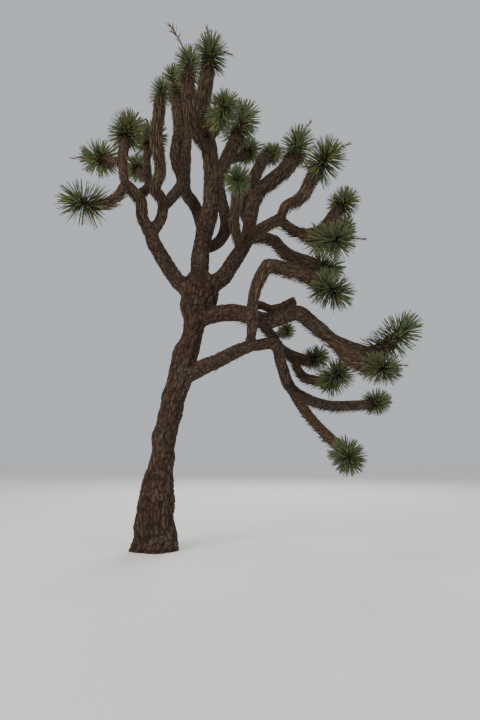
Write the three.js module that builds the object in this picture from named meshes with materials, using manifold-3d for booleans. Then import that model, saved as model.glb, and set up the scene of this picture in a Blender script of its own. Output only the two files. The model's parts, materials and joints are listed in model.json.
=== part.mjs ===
// A Joshua tree at its real size, in millimetres, with +Z up.
// The origin is on the flat cut under the trunk, at ground level. +X is to the right
// in the usual view of the tree, and +Y points away from it.
// The trunk and each limb are tapered solids. Each rosette of dagger leaves is one solid
// with a stem of its own, which meets the limb that carries it with a narrow gap.
import * as THREE from "three";
import Module from "manifold-3d";

const wasm = await Module();
wasm.setup();

// Units of the tables below.
const CM = 10;
const DEGREE = Math.PI / 180;

// The gap that two touching pieces keep, measured on their faceted surfaces.
const GAP = 0.35;

// The trunk, as level sections: height, lean to the right, lean to the back, thickness, in cm.
const TRUNK_SECTIONS = [
  [0, 0, 0, 66],
  [20, 1, 0, 58],
  [50, 1, 0, 52],
  [75, 2, 0, 49],
  [105, 6, 0, 38],
  [130, 9, 1, 32],
  [155, 12, 1, 34],
  [200, 22, 2, 34],
  [250, 36, 3, 38],
  [285, 43, 4, 36],
  [305, 50, 4, 28],
  [325, 55, 4, 36],
  [342, 57, 3, 52],
  [358, 59, 3, 56],
  [374, 60, 2, 46],
];
// The places of the last three in a section.
const LEAN = 1;
const BACKWARD = 2;
const THICK = 3;
const TRUNK_ROW = 13 * CM;
// Between the sections the trunk is smoothed over this many short steps either way.
const SMOOTH_STEPS = 4;
const SMOOTH_STEP = 3 * CM;

// The bark's main ribs run up the trunk side by side. A rib is deepest where the trunk is
// thick, and no deeper than this from its furrow to its crest.
const RIBS = 16;
const RIB_POINTS = 2;
const RIB_DEPTH = 20;
const RIB_SHARE = 0.1;
// A power that rounds a rib's crest and narrows its furrow, and the mean height that it gives.
const RIB_ROUNDING = 0.7;
const RIB_MEAN = 0.7;
// Waves over the trunk: size, length up the trunk in cm, turns round it, start in degrees.
// The wander of the ribs is in degrees and the swells are in mm.
const RIB_WANDER = [
  [9, 83, 3, 0],
  [5.5, 47, -2, 57],
];
const RIB_STRENGTH = [[0.3, 62, 5, 0]];
const TRUNK_SWELLS = [
  [9, 57, 1, 0],
  [6, 31, -2, 115],
];
// Over the main roots the foot swells by a share of its radius, which fades upwards.
const ROOT_SWELLS = [
  [0.055, Infinity, 5, 124],
  [0.028, Infinity, 3, 199],
];
const ROOT_FADE = 34 * CM;

// The limbs, each after the one that it grows from. It starts at a share of that limb's
// length and runs in stretches: length in cm, then bearing and climb in degrees. Bearing 0
// is to the right and 90 to the back. thick is its thickness at the start and the end, in cm.
const LIMBS = [
  {
    name: "bough_left",
    from: "trunk",
    share: 0.945,
    thick: [25, 20],
    way: [[38, -164, 38], [24, -142, 46], [22, -140, 50], [22, -144, 54], [10, -134, 68]],
  },
  {
    name: "limb_left_low",
    from: "bough_left",
    share: 1,
    thick: [19, 17],
    way: [[30, -142, 58], [18, -84, 56], [32, -142, 38]],
  },
  {
    name: "limb_left_high",
    from: "limb_left_low",
    share: 1,
    thick: [14, 15],
    way: [[30, 138, 76], [26, 96, 78], [20, 74, 76]],
  },
  {
    name: "limb_left_inner",
    from: "limb_left_low",
    share: 0.71,
    thick: [15, 13],
    way: [[64, 82, 38], [48, 108, 60], [36, 96, 62]],
  },
  {
    name: "limb_left_tall",
    from: "bough_left",
    share: 1,
    thick: [16, 17],
    way: [
      [34, 18, 64],
      [20, -84, 74],
      [26, -108, 20],
      [40, -70, 16],
      [40, -96, 42],
      [28, -72, 54],
      [18, -74, 54],
    ],
  },
  {
    name: "limb_top_left",
    from: "limb_left_tall",
    share: 0.22,
    thick: [16, 20],
    way: [[34, 64, 46], [36, 50, 56], [52, 130, 68], [50, 44, 82], [54, 136, 80]],
  },
  {
    name: "bough_middle",
    from: "trunk",
    share: 0.98,
    thick: [27, 24],
    way: [
      [44, 98, 86],
      [36, 50, 80],
      [54, -24, 76],
      [48, -82, 78],
      [54, -120, 72],
      [40, -130, 80],
      [42, -50, 80],
    ],
  },
  {
    name: "limb_top_back",
    from: "bough_middle",
    share: 0.28,
    thick: [18, 23],
    way: [[70, 116, 56], [40, 130, 50], [90, 98, 60], [94, 92, 64]],
  },
  {
    name: "limb_top_middle",
    from: "bough_middle",
    share: 0.66,
    thick: [17, 21],
    way: [[40, -118, 22], [32, -106, 38], [32, -102, 72]],
  },
  {
    name: "limb_middle_right",
    from: "bough_middle",
    share: 0.2,
    thick: [17, 24],
    way: [[42, 48, 30], [52, 70, 52], [84, 118, 70], [56, 56, 66], [46, 30, 66]],
  },
  {
    name: "bough_right",
    from: "trunk",
    share: 0.945,
    thick: [26, 22],
    way: [[30, -8, 46], [22, 18, 40], [22, 24, 58], [24, 10, 58], [22, 16, 62]],
  },
  {
    name: "limb_right_up",
    from: "bough_right",
    share: 1,
    thick: [20, 26],
    way: [[40, 36, 78], [26, 48, 74], [24, 24, 62], [32, 0, 40], [26, 0, 44], [20, 2, 58]],
  },
  {
    name: "limb_right_inner",
    from: "limb_right_up",
    share: 0.14,
    thick: [15, 22],
    way: [[68, 100, 50], [58, 66, 56], [66, 56, 58]],
  },
  {
    name: "limb_right_low",
    from: "bough_right",
    share: 1,
    thick: [16, 25],
    way: [[32, 42, 20], [26, 36, 0], [18, 40, -32], [24, 42, -20], [42, 28, -10]],
  },
  {
    name: "limb_right_fork",
    from: "bough_right",
    share: 1,
    thick: [18, 17],
    way: [[34, -62, 6], [22, -46, 10], [22, -44, 10]],
  },
  {
    name: "limb_right_raised",
    from: "limb_right_fork",
    share: 1,
    thick: [15, 20],
    way: [[18, -56, 48], [22, -42, 8], [16, -50, 28], [16, -36, 60], [16, -30, 52]],
  },
  {
    name: "limb_right_swept",
    from: "limb_right_fork",
    share: 0.96,
    thick: [15, 19],
    way: [[22, 10, -36], [18, 18, -18], [20, 16, 12], [18, 20, 30], [22, 20, 54]],
  },
  {
    name: "bough_level",
    from: "trunk",
    share: 0.865,
    thick: [26, 19],
    way: [
      [38, -22, 10],
      [30, -20, -4],
      [40, -16, -18],
      [46, -6, 12],
      [20, 6, -34],
      [48, 16, -34],
      [56, 14, -16],
    ],
  },
  {
    name: "limb_level_under",
    from: "bough_level",
    share: 0.78,
    thick: [20, 24],
    way: [[44, -54, -42], [32, -44, -26]],
  },
  {
    name: "limb_stub",
    from: "bough_level",
    share: 0.28,
    thick: [13, 13],
    way: [[36, 50, 33], [18, 4, -18], [14, 8, 12], [24, 4, 25]],
    broken: true,
  },
  {
    name: "bough_low",
    from: "trunk",
    share: 0.63,
    thick: [25, 17],
    way: [[38, -12, 26], [30, -32, 16], [36, -36, 18], [18, -24, 14]],
  },
  {
    name: "limb_arch_rise",
    from: "bough_low",
    share: 0.96,
    thick: [13, 19],
    way: [[24, -64, 62], [26, -90, 78], [20, -28, 82], [21, -26, 72], [26, 0, 62]],
  },
  {
    name: "limb_arch_reach",
    from: "limb_arch_rise",
    share: 1,
    thick: [22, 20],
    way: [[14, 8, -10], [16, 8, -12], [16, -8, -18], [16, -8, -30], [22, -16, -36]],
  },
  {
    name: "limb_low_drop",
    from: "bough_low",
    share: 1,
    thick: [16, 18],
    way: [[36, 26, 6], [38, 66, -42], [52, 66, -36], [84, 44, -14], [76, 30, 2]],
  },
  {
    name: "limb_low_hang",
    from: "limb_low_drop",
    share: 0.43,
    thick: [15, 16],
    way: [[54, -72, -36], [66, -70, -30], [48, -70, -24]],
  },
  {
    name: "limb_low_side",
    from: "bough_level",
    share: 0.34,
    thick: [14, 19],
    way: [[42, 58, -20], [42, 56, -30], [46, 34, -16]],
  },
  {
    name: "limb_low_back",
    from: "limb_low_side",
    share: 0.8,
    thick: [14, 17],
    way: [[36, -42, -60], [46, -42, -18]],
  },
];
const LIMB_SIDES = 7;
const RING_SPACING = 24 * CM;
// Where the last ring of a rounded end sits, as a share of its radius.
const END_RISE = 0.65;

// The rosettes, on stems that grow by the same rule. reach is how far the leaf tips stand
// from the middle of the rosette, in cm. A stalk is a dried flower stalk: length in cm,
// bearing and climb.
const ROSETTES = [
  {
    name: "rosette_left_tip",
    from: "limb_left_low",
    share: 1,
    thick: 15,
    reach: 33,
    way: [[32, -124, -56], [28, -156, -30], [24, -156, 2]],
  },
  {
    name: "rosette_left_side",
    from: "limb_left_high",
    share: 0.46,
    thick: 13,
    reach: 30,
    way: [[36, 134, 24], [34, 140, 22]],
    stalks: [[34, -170, -5]],
  },
  {
    name: "rosette_left_top",
    from: "limb_left_high",
    share: 1,
    thick: 14,
    reach: 29,
    way: [[20, 56, 72]],
  },
  {
    name: "rosette_left_back",
    from: "limb_left_inner",
    share: 0.54,
    thick: 13,
    reach: 24,
    way: [[62, 110, 30], [48, 116, 36]],
  },
  {
    name: "rosette_inner_left",
    from: "limb_left_inner",
    share: 1,
    thick: 12,
    reach: 29,
    way: [[36, 78, 64]],
  },
  {
    name: "rosette_tall_left",
    from: "limb_left_tall",
    share: 1,
    thick: 16,
    reach: 17,
    way: [[16, -56, 64]],
  },
  {
    name: "rosette_top_left",
    from: "limb_top_left",
    share: 1,
    thick: 21,
    reach: 24,
    way: [[36, -158, 86]],
  },
  {
    name: "rosette_top_stalk",
    from: "limb_top_middle",
    share: 1,
    thick: 19,
    reach: 23,
    way: [[36, -78, 80]],
    stalks: [[54, -175, 62]],
  },
  {
    name: "rosette_top_right",
    from: "bough_middle",
    share: 1,
    thick: 22,
    reach: 29,
    way: [[46, -38, 80]],
    stalks: [[36, 180, 80], [34, -5, -20]],
  },
  {
    name: "rosette_top_back",
    from: "limb_top_back",
    share: 1,
    thick: 21,
    reach: 30,
    way: [[58, 66, 72]],
  },
  {
    name: "rosette_upper_left",
    from: "bough_middle",
    share: 0.72,
    thick: 18,
    reach: 26,
    way: [[40, -66, 6], [34, -68, 16]],
  },
  {
    name: "rosette_upper_right",
    from: "limb_middle_right",
    share: 1,
    thick: 20,
    reach: 35,
    way: [[50, 44, 70]],
  },
  {
    name: "rosette_upper_back",
    from: "limb_middle_right",
    share: 0.84,
    thick: 16,
    reach: 26,
    way: [[58, 60, 26], [48, 68, 40]],
    stalks: [[34, 10, 25]],
  },
  {
    name: "rosette_front",
    from: "bough_right",
    share: 0.85,
    thick: 16,
    reach: 20,
    way: [[54, -102, 26], [56, -86, 12], [46, -88, 14]],
  },
  {
    name: "rosette_right_high",
    from: "limb_right_up",
    share: 1,
    thick: 24,
    reach: 30,
    way: [[24, 0, 76]],
    stalks: [[40, 10, 60]],
  },
  {
    name: "rosette_right_inner",
    from: "limb_right_inner",
    share: 1,
    thick: 20,
    reach: 22,
    way: [[36, 48, 36]],
  },
  {
    name: "rosette_right_raised",
    from: "limb_right_raised",
    share: 1,
    thick: 19,
    reach: 30,
    way: [[22, -36, 42]],
    stalks: [[35, 0, 30]],
  },
  {
    name: "rosette_right_swept",
    from: "limb_right_swept",
    share: 1,
    thick: 18,
    reach: 25,
    way: [[36, 24, 50]],
  },
  {
    name: "rosette_right_stalk",
    from: "limb_right_swept",
    share: 0.39,
    thick: 18,
    reach: 28,
    way: [[46, -60, -28], [34, -48, -14]],
    stalks: [[36, 5, 3]],
  },
  {
    name: "rosette_right_mid",
    from: "limb_right_swept",
    share: 0.66,
    thick: 14,
    reach: 22,
    way: [[54, 60, 18], [46, 52, 22]],
  },
  {
    name: "rosette_right_low",
    from: "limb_right_low",
    share: 1,
    thick: 23,
    reach: 29,
    way: [[32, 20, -6]],
  },
  {
    name: "rosette_arch",
    from: "limb_arch_reach",
    share: 1,
    thick: 22,
    reach: 29,
    way: [[22, -30, -30]],
  },
  {
    name: "rosette_level_tip",
    from: "bough_level",
    share: 1,
    thick: 22,
    reach: 33,
    way: [[26, 24, 28], [42, 18, 40]],
  },
  {
    name: "rosette_level_under",
    from: "limb_level_under",
    share: 1,
    thick: 22,
    reach: 25,
    way: [[24, -40, -12]],
    stalks: [[28, 0, 10]],
  },
  {
    name: "rosette_low_side",
    from: "limb_low_side",
    share: 1,
    thick: 17,
    reach: 22,
    way: [[24, 26, 18]],
  },
  {
    name: "rosette_low_back",
    from: "limb_low_back",
    share: 1,
    thick: 16,
    reach: 28,
    way: [[24, -34, 36]],
  },
  {
    name: "rosette_low_small",
    from: "limb_low_side",
    share: 0.38,
    thick: 11,
    reach: 16,
    way: [[50, 76, 14], [46, 68, 16]],
  },
  {
    name: "rosette_low_drop",
    from: "limb_low_drop",
    share: 1,
    thick: 17,
    reach: 24,
    way: [[36, 28, 10]],
  },
  {
    name: "rosette_low_hang",
    from: "limb_low_hang",
    share: 1,
    thick: 15,
    reach: 23,
    way: [[34, -78, -24]],
  },
];
const STEM_SIDES = 5;
const STEM_SPACING = 24 * CM;
// The stem swells into a core of this radius over this depth, as shares of the reach.
const CORE_SHARE = 0.45;
const CORE_DEPTH = 0.9;

// The leaves. Each stands for a spray of real ones, so it is wider than life. They stand on
// the last part of the stem, the oldest furthest down and tilted furthest back.
const LEAVES = 14;
const LEAF_WIDTH = 84;
const LEAF_KEEL = 40;
const LEAF_ROOT = 0.08;
const LEAF_SHORTEST = 0.9;
const LEAF_LONGEST = 1.1;
const SKIRT_DEPTH = 0.8;
const SKIRT_LIMIT = 0.8;
const FIRST_TILT = 14;
const LAST_TILT = 140;
const TURN_STEP = 137.508;
const TURN_SCATTER = 16;
const LEAF_SEED = 41;
// Where a blade is widest, as a share of its length.
const BLADE_WIDEST = 0.4;
// The share of a blade's width that counts in the room test, and the space round it.
const ROOM_SHARE = 0.33;
const ROOM_SPACE = 6;
const ROOM_STEPS = 12;

// A dried flower stalk and the stubby bracts along its outer part.
const STALK_WIDTH = 34;
const BRACTS = 3;
const BRACT_START = 0.5;
const BRACT_STEP = 0.14;
const BRACT_LEAN = 0.7;
const BRACT_LENGTH = 75;
const BRACT_WIDTH = 26;

// Finishes.
const BARK = new THREE.MeshStandardMaterial({ color: 0x5a4a3e, roughness: 0.95, metalness: 0 });
const LEAF = new THREE.MeshStandardMaterial({ color: 0x5d6b45, roughness: 0.7, metalness: 0 });

const RIGHT = new THREE.Vector3(1, 0, 0);
const BACK = new THREE.Vector3(0, 1, 0);
const UP = new THREE.Vector3(0, 0, 1);
// A heading this near to upright has no level side of its own.
const NEARLY_UPRIGHT = 0.01;

// A closed solid from points and triangles.
function solidOf(points, faces) {
  return new wasm.Manifold(
    new wasm.Mesh({
      numProp: 3,
      vertProperties: new Float32Array(points.flatMap((point) => point.toArray())),
      triVerts: new Uint32Array(faces.flat()),
    }),
  );
}

// A solid through rings of equal count. A tip point closes its end, or else a flat face does,
// and the same at its foot.
function solidThroughRings(rings, tip, foot) {
  const sides = rings[0].length;
  const points = rings.flat();
  const last = points.length - sides;
  const faces = [];
  for (let start = 0; start < last; start += sides)
    for (let k = 0; k < sides; k++) {
      const here = start + k;
      const next = start + ((k + 1) % sides);
      faces.push([here, next, next + sides], [here, next + sides, here + sides]);
    }
  if (foot) {
    points.push(foot);
    for (let k = 0; k < sides; k++) faces.push([(k + 1) % sides, k, points.length - 1]);
  } else for (let k = 1; k < sides - 1; k++) faces.push([0, k + 1, k]);
  if (tip) {
    points.push(tip);
    for (let k = 0; k < sides; k++)
      faces.push([last + k, last + ((k + 1) % sides), points.length - 1]);
  } else for (let k = 1; k < sides - 1; k++) faces.push([last, last + k, last + k + 1]);
  return solidOf(points, faces);
}

// A ring of points round a centre, in the plane of two directions.
function ringAt(centre, across, beside, radius, sides) {
  return Array.from({ length: sides }, (_, k) => {
    const turn = (2 * Math.PI * k) / sides;
    return centre
      .clone()
      .addScaledVector(across, radius * Math.cos(turn))
      .addScaledVector(beside, radius * Math.sin(turn));
  });
}

// The rings closed by a rounded end: one more ring, then a tip. The foot point is optional.
function roundedSolid(rings, { centre, ahead, across, beside, radius, foot }) {
  const rim = centre.clone().addScaledVector(ahead, END_RISE * radius);
  const rimRadius = radius * Math.sqrt(1 - END_RISE * END_RISE);
  const rimRing = ringAt(rim, across, beside, rimRadius, rings[0].length);
  const tip = centre.clone().addScaledVector(ahead, radius);
  return solidThroughRings([...rings, rimRing], tip, foot);
}

// The direction of a bearing and a climb, in degrees.
function direction(bearing, climb) {
  const level = Math.cos(climb * DEGREE);
  return new THREE.Vector3(
    level * Math.cos(bearing * DEGREE),
    level * Math.sin(bearing * DEGREE),
    Math.sin(climb * DEGREE),
  );
}

// A level direction square to the given one.
function sideways(heading) {
  const side = UP.clone().cross(heading);
  const upright = side.length() < NEARLY_UPRIGHT * heading.length();
  return upright ? RIGHT.clone() : side.normalize();
}

// The curve that a limb grows along, in stretches, from a place on the one that carries it.
function growthCurve({ from, share, way }) {
  const points = [grown.get(from).curve.getPointAt(share)];
  for (const [length, bearing, climb] of way)
    points.push(points.at(-1).clone().addScaledVector(direction(bearing, climb), length * CM));
  return new THREE.CatmullRomCurve3(points, false, "centripetal");
}

// A solid along a curve. radiusAt gives its radius at a share of the length, and spare is
// added all round, at the foot too.
function tube(curve, radiusAt, { sides, spacing, broken, spare }) {
  const steps = Math.max(2, Math.round(curve.getLength() / spacing));
  const { tangents, normals, binormals } = curve.computeFrenetFrames(steps);
  const rings = Array.from({ length: steps + 1 }, (_, k) =>
    ringAt(
      curve.getPointAt(k / steps).addScaledVector(tangents[k], k === 0 ? -spare : 0),
      normals[k],
      binormals[k],
      radiusAt(k / steps) + spare,
      sides,
    ),
  );
  if (broken) return solidThroughRings(rings);
  return roundedSolid(rings, {
    centre: curve.getPointAt(1),
    ahead: tangents[steps],
    across: normals[steps],
    beside: binormals[steps],
    radius: radiusAt(1) + spare,
  });
}

// The sum of a list of waves at a turn round the trunk and a height on it.
function waves(list, turn, height) {
  const sizes = list.map(([size, length, turns, start]) => {
    const phase = (2 * Math.PI * height) / (length * CM) + turns * turn + start * DEGREE;
    return size * Math.sin(phase);
  });
  return sizes.reduce((sum, size) => sum + size, 0);
}

// A column of the trunk's table at a height, straight between the sections.
function trunkValue(column, height) {
  const above = TRUNK_SECTIONS.findIndex(([top]) => top * CM >= height);
  if (above < 0) return TRUNK_SECTIONS.at(-1)[column] * CM;
  if (above === 0) return TRUNK_SECTIONS[0][column] * CM;
  const low = TRUNK_SECTIONS[above - 1];
  const high = TRUNK_SECTIONS[above];
  const share = (height / CM - low[0]) / (high[0] - low[0]);
  return THREE.MathUtils.lerp(low[column], high[column], share) * CM;
}

// The same, smoothed over the heights round it.
function smoothTrunkValue(column, height) {
  let sum = 0;
  let weights = 0;
  for (let k = 1 - SMOOTH_STEPS; k < SMOOTH_STEPS; k++) {
    const weight = 1 + Math.cos((Math.PI * k) / SMOOTH_STEPS);
    sum += weight * trunkValue(column, height + k * SMOOTH_STEP);
    weights += weight;
  }
  return sum / weights;
}

// The middle of the trunk at a height.
function trunkMiddle(height) {
  const lean = smoothTrunkValue(LEAN, height);
  return new THREE.Vector3(lean, smoothTrunkValue(BACKWARD, height), height);
}

// A level row of points round the trunk, on its ribs, swells and roots.
function trunkRow(height, spare) {
  const middle = trunkMiddle(height);
  const radius = smoothTrunkValue(THICK, height) / 2;
  const depth = Math.min(RIB_DEPTH, RIB_SHARE * radius);
  return Array.from({ length: RIBS * RIB_POINTS }, (_, k) => {
    const rib = k / RIB_POINTS;
    const turn = (2 * Math.PI * rib) / RIBS;
    const angle = turn + waves(RIB_WANDER, turn, height) * DEGREE;
    const crest = Math.abs(Math.sin(Math.PI * rib)) ** RIB_ROUNDING - RIB_MEAN;
    const strength = 1 + waves(RIB_STRENGTH, turn, height);
    const roots = waves(ROOT_SWELLS, turn, height) * Math.exp(-height / ROOT_FADE);
    const swells = waves(TRUNK_SWELLS, turn, height);
    const out = radius * (1 + roots) + depth * strength * crest + swells + spare;
    return new THREE.Vector3(Math.cos(angle), Math.sin(angle), 0)
      .multiplyScalar(out)
      .add(middle);
  });
}

// The trunk's solid, from its flat foot up to its rounded head.
function trunkSolid(spare) {
  const top = TRUNK_SECTIONS.at(-1)[0] * CM;
  const rows = Math.round(top / TRUNK_ROW);
  const rings = Array.from({ length: rows + 1 }, (_, k) => trunkRow((k * top) / rows, spare));
  return roundedSolid(rings, {
    centre: trunkMiddle(top),
    ahead: UP,
    across: RIGHT,
    beside: BACK,
    radius: smoothTrunkValue(THICK, top) / 2 + spare,
    foot: trunkMiddle(0),
  });
}

// The largest body of a solid that a cut may have parted.
function largest(solid) {
  return solid.decompose().reduce((best, body) => (body.volume() > best.volume() ? body : best));
}

// A solid cut clear of every limb that has grown so far.
function clearOfLimbs(solid) {
  for (const { cutter } of grown.values()) solid = solid.subtract(cutter);
  return largest(solid);
}

// A row of straight pieces along a curve, which stands for a limb in the room test.
function roomAlong(curve, radiusAt, owner) {
  const steps = Math.ceil(curve.getLength() / RING_SPACING);
  return Array.from({ length: steps }, (_, k) => ({
    owner,
    line: new THREE.Line3(curve.getPointAt(k / steps), curve.getPointAt((k + 1) / steps)),
    radius: Math.max(radiusAt(k / steps), radiusAt((k + 1) / steps)),
  }));
}

// The least distance between two straight pieces. A foot that is dropped from one to the
// other and back soon settles there.
function distanceBetween(first, second) {
  const near = first.getCenter(new THREE.Vector3());
  const far = new THREE.Vector3();
  for (let step = 0; step < ROOM_STEPS; step++) {
    second.closestPointToPoint(near, true, far);
    first.closestPointToPoint(far, true, near);
  }
  return near.distanceTo(far);
}

// Whether a blade has room beside the listed limbs and blades.
function hasRoom(blade, others) {
  return others.every(
    ({ line, radius }) =>
      distanceBetween(blade.line, line) > blade.radius + radius + ROOM_SPACE,
  );
}

// Random numbers between 0 and 1 from a seed, by a linear rule.
const SEED_FACTOR = 1664525;
const SEED_STEP = 1013904223;
const SEED_SPAN = 2 ** 32;
function seeded(seed) {
  let state = seed;
  return () => {
    state = (state * SEED_FACTOR + SEED_STEP) % SEED_SPAN;
    return state / SEED_SPAN;
  };
}

// A blade along a line, with its width and the depth of its keel.
function bladeAlong(line, width, keel) {
  return { line, width, keel, radius: ROOM_SHARE * width };
}

// A keeled blade's solid: a root point, a widest section of three corners, and a tip. The
// middle of that section is on the line.
function bladeSolid({ line, width, keel }) {
  const along = line.delta(new THREE.Vector3());
  const side = sideways(along);
  const under = along.clone().cross(side).normalize();
  const middle = line.at(BLADE_WIDEST, new THREE.Vector3());
  const upper = middle.clone().addScaledVector(under, -keel / 3);
  return solidOf(
    [
      line.start,
      upper.clone().addScaledVector(side, width / 2),
      middle.clone().addScaledVector(under, (2 * keel) / 3),
      upper.clone().addScaledVector(side, -width / 2),
      line.end,
    ],
    [
      [0, 2, 1],
      [0, 3, 2],
      [0, 1, 3],
      [4, 1, 2],
      [4, 2, 3],
      [4, 3, 1],
    ],
  );
}

// The leaves of one rosette, from the youngest at the tip to the oldest down the stem.
function leafBlades(curve, reach, random) {
  const length = curve.getLength();
  const axis = curve.getTangentAt(1);
  const across = sideways(axis);
  const beside = axis.clone().cross(across);
  const firstTurn = 360 * random();
  return Array.from({ length: LEAVES }, (_, k) => {
    const age = k / (LEAVES - 1);
    const tilt = Math.acos(
      THREE.MathUtils.lerp(Math.cos(FIRST_TILT * DEGREE), Math.cos(LAST_TILT * DEGREE), age),
    );
    const turn = (firstTurn + TURN_STEP * k + TURN_SCATTER * (random() - 0.5)) * DEGREE;
    const heading = axis
      .clone()
      .multiplyScalar(Math.cos(tilt))
      .addScaledVector(across, Math.sin(tilt) * Math.cos(turn))
      .addScaledVector(beside, Math.sin(tilt) * Math.sin(turn));
    const down = Math.min(age * SKIRT_DEPTH * reach, SKIRT_LIMIT * length);
    const foot = curve.getPointAt(1 - down / length);
    const blade = reach * THREE.MathUtils.lerp(LEAF_SHORTEST, LEAF_LONGEST, random());
    const line = new THREE.Line3(
      foot.clone().addScaledVector(heading, LEAF_ROOT * reach),
      foot.clone().addScaledVector(heading, blade),
    );
    return bladeAlong(line, LEAF_WIDTH, LEAF_KEEL);
  });
}

// A dried flower stalk from the middle of a rosette, and its bracts.
function stalkBlades(centre, [length, bearing, climb]) {
  const heading = direction(bearing, climb);
  const stalk = new THREE.Line3(
    centre,
    centre.clone().addScaledVector(heading, length * CM),
  );
  const bracts = Array.from({ length: BRACTS }, (_, k) => {
    const foot = stalk.at(BRACT_START + BRACT_STEP * k, new THREE.Vector3());
    const out = sideways(heading)
      .applyAxisAngle(heading, TURN_STEP * k * DEGREE)
      .addScaledVector(heading, BRACT_LEAN)
      .normalize();
    const line = new THREE.Line3(foot, foot.clone().addScaledVector(out, BRACT_LENGTH));
    return bladeAlong(line, BRACT_WIDTH, BRACT_WIDTH);
  });
  return [bladeAlong(stalk, STALK_WIDTH, STALK_WIDTH), ...bracts];
}

// The curves of the trunk and the limbs by name, with the solids that cut later pieces.
const grown = new Map();
// Every straight piece that a leaf has to keep clear of, with the rosette that owns it.
const room = [];

function growTrunk() {
  const centres = TRUNK_SECTIONS.map(([height, lean, back]) =>
    new THREE.Vector3(lean, back, height).multiplyScalar(CM),
  );
  const widest = Math.max(...TRUNK_SECTIONS.map(([, , , thick]) => thick * CM)) / 2;
  const curve = new THREE.CatmullRomCurve3(centres, false, "centripetal");
  grown.set("trunk", { curve, cutter: trunkSolid(GAP) });
  room.push(...roomAlong(curve, () => widest));
  return trunkSolid(0);
}

function growLimb(limb) {
  const curve = growthCurve(limb);
  const [start, end] = limb.thick;
  const radiusAt = (share) => (THREE.MathUtils.lerp(start, end, share) * CM) / 2;
  const shape = { sides: LIMB_SIDES, spacing: RING_SPACING, broken: limb.broken };
  const solid = clearOfLimbs(tube(curve, radiusAt, { ...shape, spare: 0 }));
  grown.set(limb.name, { curve, cutter: tube(curve, radiusAt, { ...shape, spare: GAP }) });
  room.push(...roomAlong(curve, radiusAt));
  return solid;
}

function growRosette(rosette, number) {
  const curve = growthCurve(rosette);
  const reach = rosette.reach * CM;
  const stemRadius = (rosette.thick * CM) / 2;
  const coreRadius = Math.max(stemRadius, CORE_SHARE * reach);
  const radiusAt = (share) => {
    const toTip = (1 - share) * curve.getLength();
    const swell = THREE.MathUtils.clamp(1 - toTip / (CORE_DEPTH * reach), 0, 1);
    return THREE.MathUtils.lerp(stemRadius, coreRadius, swell);
  };
  let solid = clearOfLimbs(
    tube(curve, radiusAt, { sides: STEM_SIDES, spacing: STEM_SPACING, spare: 0 }),
  );
  const blades = leafBlades(curve, reach, seeded(LEAF_SEED + number));
  for (const stalk of rosette.stalks ?? [])
    blades.push(...stalkBlades(curve.getPointAt(1), stalk));
  const others = room.filter(({ owner }) => owner !== rosette.name);
  for (const blade of blades)
    if (hasRoom(blade, others)) {
      solid = solid.add(bladeSolid(blade));
      room.push({ ...blade, owner: rosette.name });
    }
  return largest(solid);
}

// A named mesh from a solid.
function meshOf(name, solid, material) {
  const { numProp, vertProperties, triVerts } = solid.getMesh();
  const geometry = new THREE.BufferGeometry();
  geometry.setAttribute("position", new THREE.BufferAttribute(vertProperties, numProp));
  geometry.setIndex(new THREE.BufferAttribute(triVerts, 1));
  geometry.computeVertexNormals();
  const mesh = new THREE.Mesh(geometry, material);
  mesh.name = name;
  return mesh;
}

const tree = new THREE.Group();
tree.add(meshOf("trunk", growTrunk(), BARK));
for (const limb of LIMBS) tree.add(meshOf(limb.name, growLimb(limb), BARK));
// Every stem takes its room before any leaf does, so no leaf meets another rosette's stem.
for (const rosette of ROSETTES)
  room.push(
    ...roomAlong(growthCurve(rosette), () => (rosette.thick * CM) / 2, rosette.name),
  );
ROSETTES.forEach((rosette, number) =>
  tree.add(meshOf(rosette.name, growRosette(rosette, number), LEAF)),
);

export default tree;
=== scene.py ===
"""A Joshua tree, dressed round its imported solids.

Every limb grows by the rule that the solids follow. It starts at a share of the length of the
limb that carries it and runs in stretches, and a smooth curve goes through their ends. One
skin of furrowed bark covers all the limbs and is then parted into pieces. Each rosette gets
its stiff live leaves, a skirt of dead ones and, on some, dried flower stalks. Dead leaves
thatch the younger wood below it.
"""

import json
import logging
import math
from collections.abc import Callable
from dataclasses import dataclass, field
from enum import Enum
from functools import partial

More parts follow.
